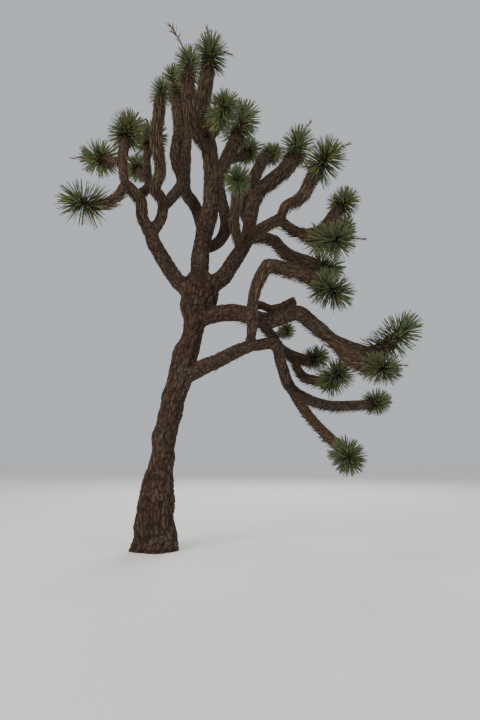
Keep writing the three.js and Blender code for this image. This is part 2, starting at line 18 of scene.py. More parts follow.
import bmesh
import bpy
import numpy as np
from bpy.types import Collection, Material, Mesh, Modifier, Node, NodeSocket, NodeTree, Object
from numpy import ndarray as Array
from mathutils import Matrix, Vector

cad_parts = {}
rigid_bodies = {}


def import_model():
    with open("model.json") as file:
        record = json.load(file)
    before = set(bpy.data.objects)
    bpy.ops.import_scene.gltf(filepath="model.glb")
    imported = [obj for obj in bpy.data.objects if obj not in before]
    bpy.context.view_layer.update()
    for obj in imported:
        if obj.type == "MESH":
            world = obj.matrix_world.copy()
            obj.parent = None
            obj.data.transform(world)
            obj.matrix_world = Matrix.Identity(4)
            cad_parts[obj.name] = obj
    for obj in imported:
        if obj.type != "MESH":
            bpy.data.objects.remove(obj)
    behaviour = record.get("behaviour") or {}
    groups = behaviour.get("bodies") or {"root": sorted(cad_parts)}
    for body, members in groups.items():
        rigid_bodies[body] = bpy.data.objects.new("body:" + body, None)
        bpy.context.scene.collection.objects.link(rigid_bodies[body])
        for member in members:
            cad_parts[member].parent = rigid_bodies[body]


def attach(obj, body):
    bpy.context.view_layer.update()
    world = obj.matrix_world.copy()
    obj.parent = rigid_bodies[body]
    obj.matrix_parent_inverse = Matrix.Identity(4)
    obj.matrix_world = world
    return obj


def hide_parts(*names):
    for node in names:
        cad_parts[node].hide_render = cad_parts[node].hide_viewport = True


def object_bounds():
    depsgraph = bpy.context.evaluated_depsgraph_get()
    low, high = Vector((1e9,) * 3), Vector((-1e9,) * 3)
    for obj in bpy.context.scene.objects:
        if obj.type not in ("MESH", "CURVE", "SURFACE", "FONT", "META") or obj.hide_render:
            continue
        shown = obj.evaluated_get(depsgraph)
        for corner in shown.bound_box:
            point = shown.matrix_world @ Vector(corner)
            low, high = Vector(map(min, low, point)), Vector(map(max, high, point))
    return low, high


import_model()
CAD_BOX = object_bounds()
LOG = logging.getLogger("joshua_tree")

CM = 0.01
MM = 0.001

# More than any distance that is measured, in metres or in any other unit.
FAR = 9.0

# A stretch is a length in cm, a bearing and a climb in degrees. Bearing 0 is to the right and
# 90 to the back.
Stretch = tuple[float, float, float]


class Region(Enum):
    """The parts of the tree that its pieces are parted by."""

    TRUNK = "trunk"
    LEFT = "left"
    CROWN = "crown"
    RIGHT = "right"
    LOW = "low"


@dataclass(frozen=True)
class Growth:
    """How one limb, or the stem of one rosette, grows.

    Attributes:
        name: The node that it stands for.
        carrier: The one that it grows from.
        share: Where it starts, as a share of the carrier's length.
        thick: Its thickness at the start and the end, in cm, dead leaves included.
        way: The stretches that it runs in.
        reach: How far a rosette's leaf tips stand from its stem, in cm, or 0 on a limb.
        leafy: How far down its stem live leaves stand, as a share of the reach.
        full: How many of its leaves it still has, as a share.
        stalks: The rosette's dried flower stalks, each one stretch.
        broken: Whether it ends in a break and not in a tip.
    """

    name: str
    carrier: str
    share: float
    thick: tuple[float, float]
    way: tuple[Stretch, ...]
    reach: float = 0
    leafy: float = 1
    full: float = 1
    stalks: tuple[Stretch, ...] = ()
    broken: bool = False

    @property
    def region(self) -> Region:
        """The part of the tree that it is in, which is that of its main bough."""
        if self.name in BOUGH_REGIONS:
            return BOUGH_REGIONS[self.name]
        return next(limb for limb in LIMBS if limb.name == self.carrier).region


# The region of each main bough, and so of all that grows on it.
BOUGH_REGIONS = {
    "bough_left": Region.LEFT,
    "bough_middle": Region.CROWN,
    "bough_right": Region.RIGHT,
    "bough_level": Region.LOW,
    "bough_low": Region.LOW,
}

# The trunk as level sections: height, lean to the right, lean to the back, thickness, in cm.
TRUNK_SECTIONS = (
    (0, 0, 0, 66),
    (20, 1, 0, 58),
    (50, 1, 0, 52),
    (75, 2, 0, 49),
    (105, 6, 0, 38),
    (130, 9, 1, 32),
    (155, 12, 1, 34),
    (200, 22, 2, 34),
    (250, 36, 3, 38),
    (285, 43, 4, 36),
    (305, 50, 4, 28),
    (325, 55, 4, 36),
    (342, 57, 3, 52),
    (358, 59, 3, 56),
    (374, 60, 2, 46),
)

# Waves over the trunk: size, length up the trunk in cm, turns round it, start in degrees. The
# wander of the ribs is in degrees, the swells are in mm and the roots are a share of the radius.
Wave = tuple[float, float, float, float]
RIBS = 16
# The power that makes a rib fuller than a wave, and the mean height that it then has.
RIB_FULLNESS = 0.7
RIB_MEAN = 0.7
RIB_WANDER: tuple[Wave, ...] = ((9, 83, 3, 0), (5.5, 47, -2, 57))
RIB_STRENGTH: tuple[Wave, ...] = ((0.3, 62, 5, 0),)
TRUNK_SWELLS: tuple[Wave, ...] = ((9, 57, 1, 0), (6, 31, -2, 115))
ROOT_SWELLS: tuple[Wave, ...] = ((0.055, math.inf, 5, 124), (0.028, math.inf, 3, 199))

LIMBS = (
    Growth("bough_left", "trunk", 0.945, (25, 20), (
        (38, -164, 38), (24, -142, 46), (22, -140, 50), (22, -144, 54), (10, -134, 68),
    )),
    Growth("limb_left_low", "bough_left", 1, (19, 17), ((30, -142, 58), (18, -84, 56), (32, -142, 38))),
    Growth("limb_left_high", "limb_left_low", 1, (14, 15), ((30, 138, 76), (26, 96, 78), (20, 74, 76))),
    Growth("limb_left_inner", "limb_left_low", 0.71, (15, 13), (
        (64, 82, 38), (48, 108, 60), (36, 96, 62),
    )),
    Growth("limb_left_tall", "bough_left", 1, (16, 17), (
        (34, 18, 64), (20, -84, 74), (26, -108, 20), (40, -70, 16), (40, -96, 42), (28, -72, 54),
        (18, -74, 54),
    )),
    Growth("limb_top_left", "limb_left_tall", 0.22, (16, 20), (
        (34, 64, 46), (36, 50, 56), (52, 130, 68), (50, 44, 82), (54, 136, 80),
    )),
    Growth("bough_middle", "trunk", 0.98, (27, 24), (
        (44, 98, 86), (36, 50, 80), (54, -24, 76), (48, -82, 78), (54, -120, 72), (40, -130, 80),
        (42, -50, 80),
    )),
    Growth("limb_top_back", "bough_middle", 0.28, (18, 23), (
        (70, 116, 56), (40, 130, 50), (90, 98, 60), (94, 92, 64),
    )),
    Growth("limb_top_middle", "bough_middle", 0.66, (17, 21), (
        (40, -118, 22), (32, -106, 38), (32, -102, 72),
    )),
    Growth("limb_middle_right", "bough_middle", 0.2, (17, 24), (
        (42, 48, 30), (52, 70, 52), (84, 118, 70), (56, 56, 66), (46, 30, 66),
    )),
    Growth("bough_right", "trunk", 0.945, (26, 22), (
        (30, -8, 46), (22, 18, 40), (22, 24, 58), (24, 10, 58), (22, 16, 62),
    )),
    Growth("limb_right_up", "bough_right", 1, (20, 26), (
        (40, 36, 78), (26, 48, 74), (24, 24, 62), (32, 0, 40), (26, 0, 44), (20, 2, 58),
    )),
    Growth("limb_right_inner", "limb_right_up", 0.14, (15, 22), (
        (68, 100, 50), (58, 66, 56), (66, 56, 58),
    )),
    Growth("limb_right_low", "bough_right", 1, (16, 25), (
        (32, 42, 20), (26, 36, 0), (18, 40, -32), (24, 42, -20), (42, 28, -10),
    )),
    Growth("limb_right_fork", "bough_right", 1, (18, 17), ((34, -62, 6), (22, -46, 10), (22, -44, 10))),
    Growth("limb_right_raised", "limb_right_fork", 1, (15, 20), (
        (18, -56, 48), (22, -42, 8), (16, -50, 28), (16, -36, 60), (16, -30, 52),
    )),
    Growth("limb_right_swept", "limb_right_fork", 0.96, (15, 19), (
        (22, 10, -36), (18, 18, -18), (20, 16, 12), (18, 20, 30), (22, 20, 54),
    )),
    Growth("bough_level", "trunk", 0.865, (26, 19), (
        (38, -22, 10), (30, -20, -4), (40, -16, -18), (46, -6, 12), (20, 6, -34), (48, 16, -34),
        (56, 14, -16),
    )),
    Growth("limb_level_under", "bough_level", 0.78, (20, 24), ((44, -54, -42), (32, -44, -26))),
    Growth("limb_stub", "bough_level", 0.28, (13, 13), (
        (36, 50, 33), (18, 4, -18), (14, 8, 12), (24, 4, 25),
    ), broken=True),
    Growth("bough_low", "trunk", 0.63, (25, 17), (
        (38, -12, 26), (30, -32, 16), (36, -36, 18), (18, -24, 14),
    )),
    Growth("limb_arch_rise", "bough_low", 0.96, (13, 19), (
        (24, -64, 62), (26, -90, 78), (20, -28, 82), (21, -26, 72), (26, 0, 62),
    )),
    Growth("limb_arch_reach", "limb_arch_rise", 1, (22, 20), (
        (14, 8, -10), (16, 8, -12), (16, -8, -18), (16, -8, -30), (22, -16, -36),
    )),
    Growth("limb_low_drop", "bough_low", 1, (16, 18), (
        (36, 26, 6), (38, 66, -42), (52, 66, -36), (84, 44, -14), (76, 30, 2),
    )),
    Growth("limb_low_hang", "limb_low_drop", 0.43, (15, 16), (
        (54, -72, -36), (66, -70, -30), (48, -70, -24),
    )),
    Growth("limb_low_side", "bough_level", 0.34, (14, 19), (
        (42, 58, -20), (42, 56, -30), (46, 34, -16),
    )),
    Growth("limb_low_back", "limb_low_side", 0.8, (14, 17), ((36, -42, -60), (46, -42, -18))),
)

ROSETTES = (
    Growth("rosette_left_tip", "limb_left_low", 1, (15, 15), (
        (32, -124, -56), (28, -156, -30), (24, -156, 2),
    ), reach=33, leafy=0.6, full=0.62),
    Growth("rosette_left_side", "limb_left_high", 0.46, (13, 13), (
        (36, 134, 24), (34, 140, 22),
    ), reach=30, leafy=0.55, full=0.62, stalks=((34, -170, -5),)),
    Growth("rosette_left_top", "limb_left_high", 1, (14, 14), (
        (20, 56, 72),
    ), reach=29, leafy=0.6, full=0.9),
    Growth("rosette_left_back", "limb_left_inner", 0.54, (13, 13), (
        (62, 110, 30), (48, 116, 36),
    ), reach=24, leafy=0.7),
    Growth("rosette_inner_left", "limb_left_inner", 1, (12, 12), ((36, 78, 64),), reach=29, leafy=0.8),
    Growth("rosette_tall_left", "limb_left_tall", 1, (16, 16), ((16, -56, 64),), reach=17, leafy=1.0),
    Growth("rosette_top_left", "limb_top_left", 1, (21, 21), ((36, -158, 86),), reach=24, leafy=1.3),
    Growth("rosette_top_stalk", "limb_top_middle", 1, (19, 19), (
        (36, -78, 80),
    ), reach=23, leafy=1.3, stalks=((54, -175, 62),)),
    Growth("rosette_top_right", "bough_middle", 1, (22, 22), (
        (46, -38, 80),
    ), reach=29, leafy=0.9, stalks=((36, 180, 80), (34, -5, -20))),
    Growth("rosette_top_back", "limb_top_back", 1, (21, 21), ((58, 66, 72),), reach=30, leafy=1.3),
    Growth("rosette_upper_left", "bough_middle", 0.72, (18, 18), (
        (40, -66, 6), (34, -68, 16),
    ), reach=26, leafy=1.1),
    Growth("rosette_upper_right", "limb_middle_right", 1, (20, 20), (
        (50, 44, 70),
    ), reach=35, leafy=1.3),
    Growth("rosette_upper_back", "limb_middle_right", 0.84, (16, 16), (
        (58, 60, 26), (48, 68, 40),
    ), reach=26, leafy=0.8, stalks=((34, 10, 25),)),
    Growth("rosette_front", "bough_right", 0.85, (16, 16), (
        (54, -102, 26), (56, -86, 12), (46, -88, 14),
    ), reach=20, leafy=0.7),
    Growth("rosette_right_high", "limb_right_up", 1, (24, 24), (
        (24, 0, 76),
    ), reach=30, leafy=1.3, stalks=((40, 10, 60),)),
    Growth("rosette_right_inner", "limb_right_inner", 1, (20, 20), (
        (36, 48, 36),
    ), reach=22, leafy=0.9),
    Growth("rosette_right_raised", "limb_right_raised", 1, (19, 19), (
        (22, -36, 42),
    ), reach=30, leafy=0.8, stalks=((35, 0, 30),)),
    Growth("rosette_right_swept", "limb_right_swept", 1, (18, 18), (
        (36, 24, 50),
    ), reach=25, leafy=0.6, full=0.85),
    Growth("rosette_right_stalk", "limb_right_swept", 0.39, (18, 18), (
        (46, -60, -28), (34, -48, -14),
    ), reach=28, leafy=1.2, stalks=((36, 5, 3),)),
    Growth("rosette_right_mid", "limb_right_swept", 0.66, (14, 14), (
        (54, 60, 18), (46, 52, 22),
    ), reach=22, leafy=1.2),
    Growth("rosette_right_low", "limb_right_low", 1, (23, 23), ((32, 20, -6),), reach=29, leafy=0.9),
    Growth("rosette_arch", "limb_arch_reach", 1, (22, 22), ((22, -30, -30),), reach=29, leafy=1.1),
    Growth("rosette_level_tip", "bough_level", 1, (22, 22), (
        (26, 24, 28), (42, 18, 40),
    ), reach=33, leafy=1.9),
    Growth("rosette_level_under", "limb_level_under", 1, (22, 22), (
        (24, -40, -12),
    ), reach=25, leafy=0.8, stalks=((28, 0, 10),)),
    Growth("rosette_low_side", "limb_low_side", 1, (17, 17), ((24, 26, 18),), reach=22, leafy=0.6),
    Growth("rosette_low_back", "limb_low_back", 1, (16, 16), ((24, -34, 36),), reach=28, leafy=0.8),
    Growth("rosette_low_small", "limb_low_side", 0.38, (11, 11), (
        (50, 76, 14), (46, 68, 16),
    ), reach=16, leafy=0.6, full=0.8),
    Growth("rosette_low_drop", "limb_low_drop", 1, (17, 17), ((36, 28, 10),), reach=24, leafy=0.8),
    Growth("rosette_low_hang", "limb_low_hang", 1, (15, 15), ((34, -78, -24),), reach=23, leafy=0.8),
)


def direction(bearing: float, climb: float) -> Array:
    """Turns a bearing and a climb in degrees into a direction.

    Args:
        bearing: The level angle, 0 to the right and 90 to the back.
        climb: The angle above the level.

    Returns:
        The unit vector.
    """
    level = math.cos(math.radians(climb))
    turn = math.radians(bearing)
    return np.array([level * math.cos(turn), level * math.sin(turn), math.sin(math.radians(climb))])


def smooth_step(values: Array, low: float, high: float) -> Array:
    """Runs smoothly from 0 at low to 1 at high. Low may be the larger of the two."""
    share = np.clip((values - low) / (high - low), 0, 1)
    return share * share * (3 - 2 * share)


def unit(vectors: Array) -> Array:
    """Each vector at length 1."""
    return vectors / np.maximum(np.linalg.norm(vectors, axis=-1, keepdims=True), 1e-9)


def waves(rows: tuple[Wave, ...], turn: Array, height: Array) -> Array:
    """The sum of some waves over the trunk.

    Args:
        rows: The waves.
        turn: The angles round the trunk, in radians.
        height: The heights, in metres.

    Returns:
        The sum at each place.
    """
    total = np.zeros(np.broadcast(turn, height).shape)
    for size, length, turns, start in rows:
        phase = 2 * math.pi * height / (length * CM) + turns * turn + math.radians(start)
        total = total + size * np.sin(phase)
    return total


def carried_side(ahead: Array) -> Array:
    """Carries a side direction along a line without a twist.

    Args:
        ahead: The direction of the line at each step.

    Returns:
        The side direction at each step.
    """
    steep = abs(ahead[0][1]) < 0.8
    start = np.array([0.0, 1.0, 0.0]) if steep else np.array([1.0, 0.0, 0.0])
    sides = np.empty_like(ahead)
    for k, heading in enumerate(ahead):
        start = unit(start - heading * (start @ heading))
        sides[k] = start
    return sides


class GrowthCurve:
    """A smooth curve through the ends of a limb's stretches.

    It is the centripetal cubic curve, which weighs each piece by the square root of its chord.
    """

    STEPS = 24

    def __init__(self, ends: Array) -> None:
        """Draws the curve.

        Args:
            ends: The points that it goes through, one row each.
        """
        before = 2 * ends[0] - ends[1]
        after = 2 * ends[-1] - ends[-2]
        knots = np.vstack([before, ends, after])
        pieces = [self._piece(knots[k : k + 4]) for k in range(len(ends) - 1)]
        self.points = np.vstack([*pieces, ends[-1:]])
        steps = np.linalg.norm(np.diff(self.points, axis=0), axis=1)
        self.marks = np.concatenate([[0.0], np.cumsum(steps)])
        self.length = float(self.marks[-1])

    def _piece(self, knots: Array) -> Array:
        """Draws one piece of the curve.

        Args:
            knots: Four knots, of which the piece joins the second to the third.

        Returns:
            The points of the piece, with the last left out.
        """
        gaps = np.sqrt(np.linalg.norm(np.diff(knots, axis=0), axis=1))
        first, second, third = np.diff(knots, axis=0) / gaps[:, None]
        leave = first - (knots[2] - knots[0]) / (gaps[0] + gaps[1]) + second
        arrive = second - (knots[3] - knots[1]) / (gaps[1] + gaps[2]) + third
        t = np.linspace(0, 1, self.STEPS, endpoint=False)[:, None]
        return (
            knots[1] * (2 * t**3 - 3 * t**2 + 1)
            + leave * gaps[1] * (t**3 - 2 * t**2 + t)
            + knots[2] * (3 * t**2 - 2 * t**3)
            + arrive * gaps[1] * (t**3 - t**2)
        )

    def at(self, distances: Array) -> Array:
        """The points at these distances along the curve."""
        columns = [np.interp(distances, self.marks, self.points[:, k]) for k in range(3)]
        return np.stack(columns, axis=-1)


@dataclass
class Axis:
    """The middle line of the trunk or of one limb, in short steps.

    Attributes:
        name: The node that it stands for.
        region: The part of the tree that it is in.
        points: The middle at each step.
        along: The distance from the start.
        ahead: The direction of growth.
        back: The direction to where the growth was a dead leaf's length before.
        side: A direction square to that of growth, carried along without a twist.
        radius: The radius of the wood and its bark.
        to_tip: The distance along the wood to the nearest rosette's end.
        broken: Whether it ends in a break.
    """

    name: str
    region: Region
    points: Array
    along: Array
    ahead: Array
    back: Array
    side: Array
    radius: Array
    to_tip: Array
    broken: bool = False

    @property
    def over(self) -> Array:
        """The direction square to both growth and side."""
        return np.cross(self.ahead, self.side)

    @property
    def shag(self) -> Array:
        """How thickly dead leaves still cover the wood, from 0 to 1."""
        return smooth_step(self.to_tip, Skeleton.BARE_FROM, Skeleton.SHAGGY_TO)


@dataclass
class Skeleton:
    """All the limbs and stems of the tree as middle lines.

    Attributes:
        step: The length of a step along a line, in metres.
        thatch_depth: How much of a young limb's thickness is dead leaves, in metres.
        thatch_length: The length of a dead leaf that lies on it, in metres.
        bud_radius: The radius of a stem at its tip, in metres.
        foot_depth: How far the trunk runs on below the ground before it is cut, in metres.
        smoothing: How many steps each of the trunk's is evened out over, an odd number.
        BARE_FROM, SHAGGY_TO: How far from a tip old wood is bare of dead leaves, and how far
            young wood is all covered, in metres.
        MOST_THATCH: The most of a limb's radius that dead leaves make up.
        curves: The curve of each limb and stem.
        spans: The distance from the start of each one to its nearest tip.
        axes: The middle lines, the trunk's first.
    """

    BARE_FROM = 1.75
    SHAGGY_TO = 1.0
    MOST_THATCH = 0.3

    step: float = 3 * CM
    thatch_depth: float = 0.9 * CM
    thatch_length: float = 15 * CM
    bud_radius: float = 3.2 * CM
    foot_depth: float = 6 * CM
    smoothing: int = 9
    curves: dict[str, GrowthCurve] = field(default_factory=dict)
    spans: dict[str, float] = field(default_factory=dict)
    axes: list[Axis] = field(default_factory=list)

    def build(self) -> None:
        """Grows the trunk, then every limb and stem from the one that carries it."""
        centres = np.array([(lean, back, height) for height, lean, back, _ in TRUNK_SECTIONS])
        self.curves["trunk"] = GrowthCurve(centres * CM)
        for growth in LIMBS + ROSETTES:
            self.curves[growth.name] = self._curve(growth)
        for growth in reversed(LIMBS + ROSETTES):
            self.spans[growth.name] = float(self._to_tip(growth.name, np.zeros(1))[0])
        self.axes = [self._trunk_axis()] + [self._limb_axis(g) for g in LIMBS + ROSETTES]

    def _curve(self, growth: Growth) -> GrowthCurve:
        """Draws the curve of a limb, from a place on its carrier.

        Args:
            growth: The limb.

        Returns:
            The curve.
        """
        carrier = self.curves[growth.carrier]
        ends = [carrier.at(np.array(growth.share * carrier.length))]
        for length, bearing, climb in growth.way:
            ends.append(ends[-1] + direction(bearing, climb) * length * CM)
        return GrowthCurve(np.array(ends))

    def _to_tip(self, name: str, along: Array) -> Array:
        """The distance to the nearest tip from places along a limb.

        Args:
            name: The limb, whose own children are already measured.
            along: The places, as distances from its start.

        Returns:
            The distances along the wood.
        """
        length = self.curves[name].length
        nearest = np.full(along.shape, FAR)
        if any(rosette.name == name for rosette in ROSETTES):
            nearest = length - along
        for growth in LIMBS + ROSETTES:
            if growth.carrier == name:
                start = growth.share * length
                through = start - along + self.spans[growth.name]
                nearest = np.where(along <= start + CM, np.minimum(nearest, through), nearest)
        return nearest

    def _limb_axis(self, growth: Growth) -> Axis:
        """Steps along the curve of a limb or stem.

        Args:
            growth: The limb.

        Returns:
            Its middle line.
        """
        curve = self.curves[growth.name]
        along = np.linspace(0, curve.length, max(4, round(curve.length / self.step)))
        points = curve.at(along)
        ahead = unit(np.gradient(points, along, axis=0))
        carrier = self.curves[growth.carrier]
        missing = np.clip(self.thatch_length - along, 0, None)
        before = carrier.at(growth.share * carrier.length - missing)
        before[missing == 0] = curve.at(along[missing == 0] - self.thatch_length)
        to_tip = self._to_tip(growth.name, along)
        full = np.interp(along, [0, curve.length], growth.thick) * CM / 2
        shag = smooth_step(to_tip, self.BARE_FROM, self.SHAGGY_TO)
        radius = full - shag * np.minimum(self.thatch_depth, self.MOST_THATCH * full)
        if growth.reach:
            taper = smooth_step(to_tip, growth.reach * CM, 0)
            radius = radius * (1 - taper) + self.bud_radius * taper
        back, side = unit(before - points), carried_side(ahead)
        places = (points, along, ahead, back, side, radius, to_tip)
        return Axis(growth.name, growth.region, *places, growth.broken)

    def _trunk_axis(self) -> Axis:
        """Steps up the trunk, whose sections are level.

        Returns:
            Its middle line.
        """
        heights, leans, backs, thick = np.array(TRUNK_SECTIONS, float).T * CM
        top = heights[-1]
        along = np.linspace(-self.foot_depth, top, round((top + self.foot_depth) / self.step))
        window = np.hanning(self.smoothing)
        window /= window.sum()
        pad = self.smoothing // 2
        columns = []
        for values in (leans, backs, thick / 2):
            fine = np.interp(along, heights, values)
            columns.append(np.convolve(np.pad(fine, pad, mode="edge"), window, mode="valid"))
        points = np.stack([columns[0], columns[1], along], axis=1)
        ways = ([0.0, 0.0, 1.0], [0.0, 0.0, -1.0], [1.0, 0.0, 0.0])
        ahead, back, side = (np.tile(way, (len(along), 1)) for way in ways)
        distances = np.clip(along, 0, top) / top * self.curves["trunk"].length
        places = (points, along, ahead, back, side, columns[2], self._to_tip("trunk", distances))
        return Axis("trunk", Region.TRUNK, *places)


# Large numbers that stir whole numbers well, for the three coordinates and for the salt, and
# then the bits' shift and factor in each round of stirring.
STIR_BY = (73856093, 19349663, 83492791)
STIR_SALT_BY = 2654435
STIR_ROUNDS = ((15, 2246822519), (13, 3266489917), (16, 1))
WORD = 2**32


def chance(cells: Array, salt: int) -> Array:
    """Even random numbers that depend only on the cell they are asked for.

    Args:
        cells: Whole numbers, three in a row for each cell.
        salt: Which set of numbers is asked for.

    Returns:
        A number from 0 to 1 for each cell.
    """
    whole = cells.astype(np.int64).astype(np.uint32)
    mixed = np.uint32(salt * STIR_SALT_BY % WORD)
    for k, factor in enumerate(STIR_BY):
        mixed = mixed ^ (whole[..., k] * np.uint32(factor))
    for shift, factor in STIR_ROUNDS:
        mixed = (mixed ^ (mixed >> np.uint32(shift))) * np.uint32(factor)
    return mixed.astype(np.float64) / WORD


def soft_noise(points: Array, salt: int) -> Array:
    """Smooth noise with bumps one unit apart.

    Args:
        points: Where it is read, one row each.
        salt: Which field of noise is read.

    Returns:
        A value from -1 to 1 for each point.
    """
    base = np.floor(points)
    share = points - base
    share = share * share * (3 - 2 * share)
    total = np.zeros(len(points))
    for corner in np.ndindex(2, 2, 2):
        steps = np.array(corner)
        weight = np.prod(np.where(steps, share, 1 - share), axis=1)
        total += weight * chance(base + steps, salt)
    return total * 2 - 1


# How near to its cell's side a plate's middle may be, as a share of the cell.
PLATE_MARGIN = 0.15


def plates(points: Array, salt: int) -> tuple[Array, Array]:
    """Splits space into plates of about one unit, as drying bark splits.

    Args:
        points: Where it is read, one row each.
        salt: Which pattern of plates is read.

    Returns:
        How far each point is from its plate's edge, and a number for its plate.
    """
    base = np.floor(points)
    nearest = np.full(len(points), FAR)
    second = np.full(len(points), FAR)
    tone = np.zeros(len(points))
    for step in np.ndindex(3, 3, 3):
        cell = base + np.array(step) - 1
        seed = np.stack([chance(cell, salt + k) for k in range(3)], axis=1)
        middle = cell + PLATE_MARGIN + (1 - 2 * PLATE_MARGIN) * seed
        distance = np.linalg.norm(middle - points, axis=1)
        closer = distance < nearest
        second = np.where(closer, nearest, np.minimum(second, distance))
        tone = np.where(closer, chance(cell, salt + 3), tone)
        nearest = np.minimum(nearest, distance)
    return second - nearest, tone


def linear(colour: str) -> tuple[float, float, float, float]:
    """Turns an sRGB hex colour into the linear one that a shader takes.

    Args:
        colour: The colour, such as "#6a5646".

    Returns:
        Red, green, blue and alpha from 0 to 1.
    """
    parts = [int(colour[k : k + 2], 16) / 255 for k in (1, 3, 5)]
    red, green, blue = [p / 12.92 if p <= 0.04045 else ((p + 0.055) / 1.055) ** 2.4 for p in parts]
    return (red, green, blue, 1.0)


class Kind(Enum):
    """The kinds of node in use: each one's type, then its own settings."""

    COORDINATES = "ShaderNodeTexCoord"
    ATTRIBUTE = "ShaderNodeAttribute"
    NOISE = "ShaderNodeTexNoise"
    MIX_COLOURS = "ShaderNodeMix data_type=RGBA"
    BUMP = "ShaderNodeBump"
    SURFACE = "ShaderNodeBsdfPrincipled"
    MATERIAL_OUTPUT = "ShaderNodeOutputMaterial"
    BACKGROUND = "ShaderNodeBackground"
    WORLD_OUTPUT = "ShaderNodeOutputWorld"
    RANGE = "ShaderNodeMapRange"
    MIX = "ShaderNodeMix data_type=FLOAT"
    ADD = "ShaderNodeMath operation=ADD"
    SUBTRACT = "ShaderNodeMath operation=SUBTRACT"
    MULTIPLY = "ShaderNodeMath operation=MULTIPLY"
    MULTIPLY_ADD = "ShaderNodeMath operation=MULTIPLY_ADD"
    DIVIDE = "ShaderNodeMath operation=DIVIDE"
    POWER = "ShaderNodeMath operation=POWER"
    MINIMUM = "ShaderNodeMath operation=MINIMUM"
    FLOOR = "ShaderNodeMath operation=FLOOR"
    FRACTION = "ShaderNodeMath operation=FRACT"
    RADIANS = "ShaderNodeMath operation=RADIANS"
    MORE = "FunctionNodeCompare data_type=FLOAT operation=GREATER_THAN"
    LESS = "FunctionNodeCompare data_type=FLOAT operation=LESS_THAN"
    SAME = "FunctionNodeCompare data_type=INT operation=EQUAL"
    BOTH = "FunctionNodeBooleanMath operation=AND"
    VECTOR = "ShaderNodeCombineXYZ"
    VECTOR_SUM = "ShaderNodeVectorMath operation=ADD"
    VECTOR_GAP = "ShaderNodeVectorMath operation=SUBTRACT"
    SCALED = "ShaderNodeVectorMath operation=SCALE"
    DOT = "ShaderNodeVectorMath operation=DOT_PRODUCT"
    UNIT = "ShaderNodeVectorMath operation=NORMALIZE"
    CHANCE = "FunctionNodeRandomValue data_type=FLOAT"
    DEAL = "FunctionNodeRandomValue data_type=INT"
    ALONG = "FunctionNodeAlignRotationToVector axis=Z"
    FACING = "FunctionNodeAlignRotationToVector axis=Y pivot_axis=Z"
    ROTATED = "FunctionNodeRotateRotation rotation_space=LOCAL"
    ROTATED_VECTOR = "FunctionNodeRotateVector"
    INPUT = "NodeGroupInput"
    OUTPUT = "NodeGroupOutput"
    INDEX = "GeometryNodeInputIndex"
    POSITION = "GeometryNodeInputPosition"
    NORMAL = "GeometryNodeInputNormal"
    OWN_NUMBER = "GeometryNodeInputNamedAttribute data_type=FLOAT"
    OWN_VECTOR = "GeometryNodeInputNamedAttribute data_type=FLOAT_VECTOR"
    OWN_WHOLE = "GeometryNodeInputNamedAttribute data_type=INT"
    OWN_YES_NO = "GeometryNodeInputNamedAttribute data_type=BOOLEAN"
    STORE_VECTOR = "GeometryNodeStoreNamedAttribute data_type=FLOAT_VECTOR domain=POINT"
    STORE_WHOLE = "GeometryNodeStoreNamedAttribute data_type=INT domain=POINT"
    OBJECT = "GeometryNodeObjectInfo transform_space=ORIGINAL"
    COLLECTION = "GeometryNodeCollectionInfo"
    NEAREST = "GeometryNodeSampleNearestSurface data_type=FLOAT_VECTOR"
    CURVES = "GeometryNodeMeshToCurve"
    CURVE_COUNT = "GeometryNodeAttributeDomainSize component=CURVE"
    CURVE_LENGTH = "GeometryNodeSplineLength"
    OF_CURVE = "GeometryNodeSampleIndex data_type=FLOAT domain=CURVE"
    ON_CURVE = "GeometryNodeSampleCurve mode=LENGTH data_type=FLOAT"
    POINTS = "GeometryNodePoints"
    SCATTER = "GeometryNodeDistributePointsOnFaces distribute_method=RANDOM"
    MOVED = "GeometryNodeSetPosition"
    INSTANCES = "GeometryNodeInstanceOnPoints"
    REALIZED = "GeometryNodeRealizeInstances"
    SET_MATERIAL = "GeometryNodeSetMaterial"


def socket(items: bpy.types.bpy_prop_collection, name: str) -> NodeSocket:
    """Finds a node's input or output by its name, among those in use."""
    return next(item for item in items if item.enabled and item.name == name)


def add_node(tree: NodeTree, kind: Kind, *feeds: object, **named: object) -> Node:
    """Adds a node to a tree.

    Args:
        tree: The tree that gets it.
        kind: What it is.
        feeds: What feeds its first inputs, in order: a plain value, a socket, or a node whose
            first output is meant.
        named: What feeds inputs by their names, which have _ here for each space.

    Returns:
        The node.
    """
    type_name, *settings = kind.value.split()
    node = tree.nodes.new(type_name)
    for setting in settings:
        setattr(node, *setting.split("="))
    pairs = list(zip(node.inputs, feeds))
    pairs += [(socket(node.inputs, key.replace("_", " ")), feed) for key, feed in named.items()]
    for entry, feed in pairs:
        if isinstance(feed, Node):
            feed = next(output for output in feed.outputs if output.enabled)
        if isinstance(feed, NodeSocket):
            tree.links.new(feed, entry)
        else:
            entry.default_value = feed
    return node


def new_material(name: str) -> tuple[Material, Callable[..., Node]]:
    """Makes an empty material, and what adds nodes to it."""
    material = bpy.data.materials.new(name)
    material.use_nodes = True
    material.node_tree.nodes.clear()
    return material, partial(add_node, material.node_tree)


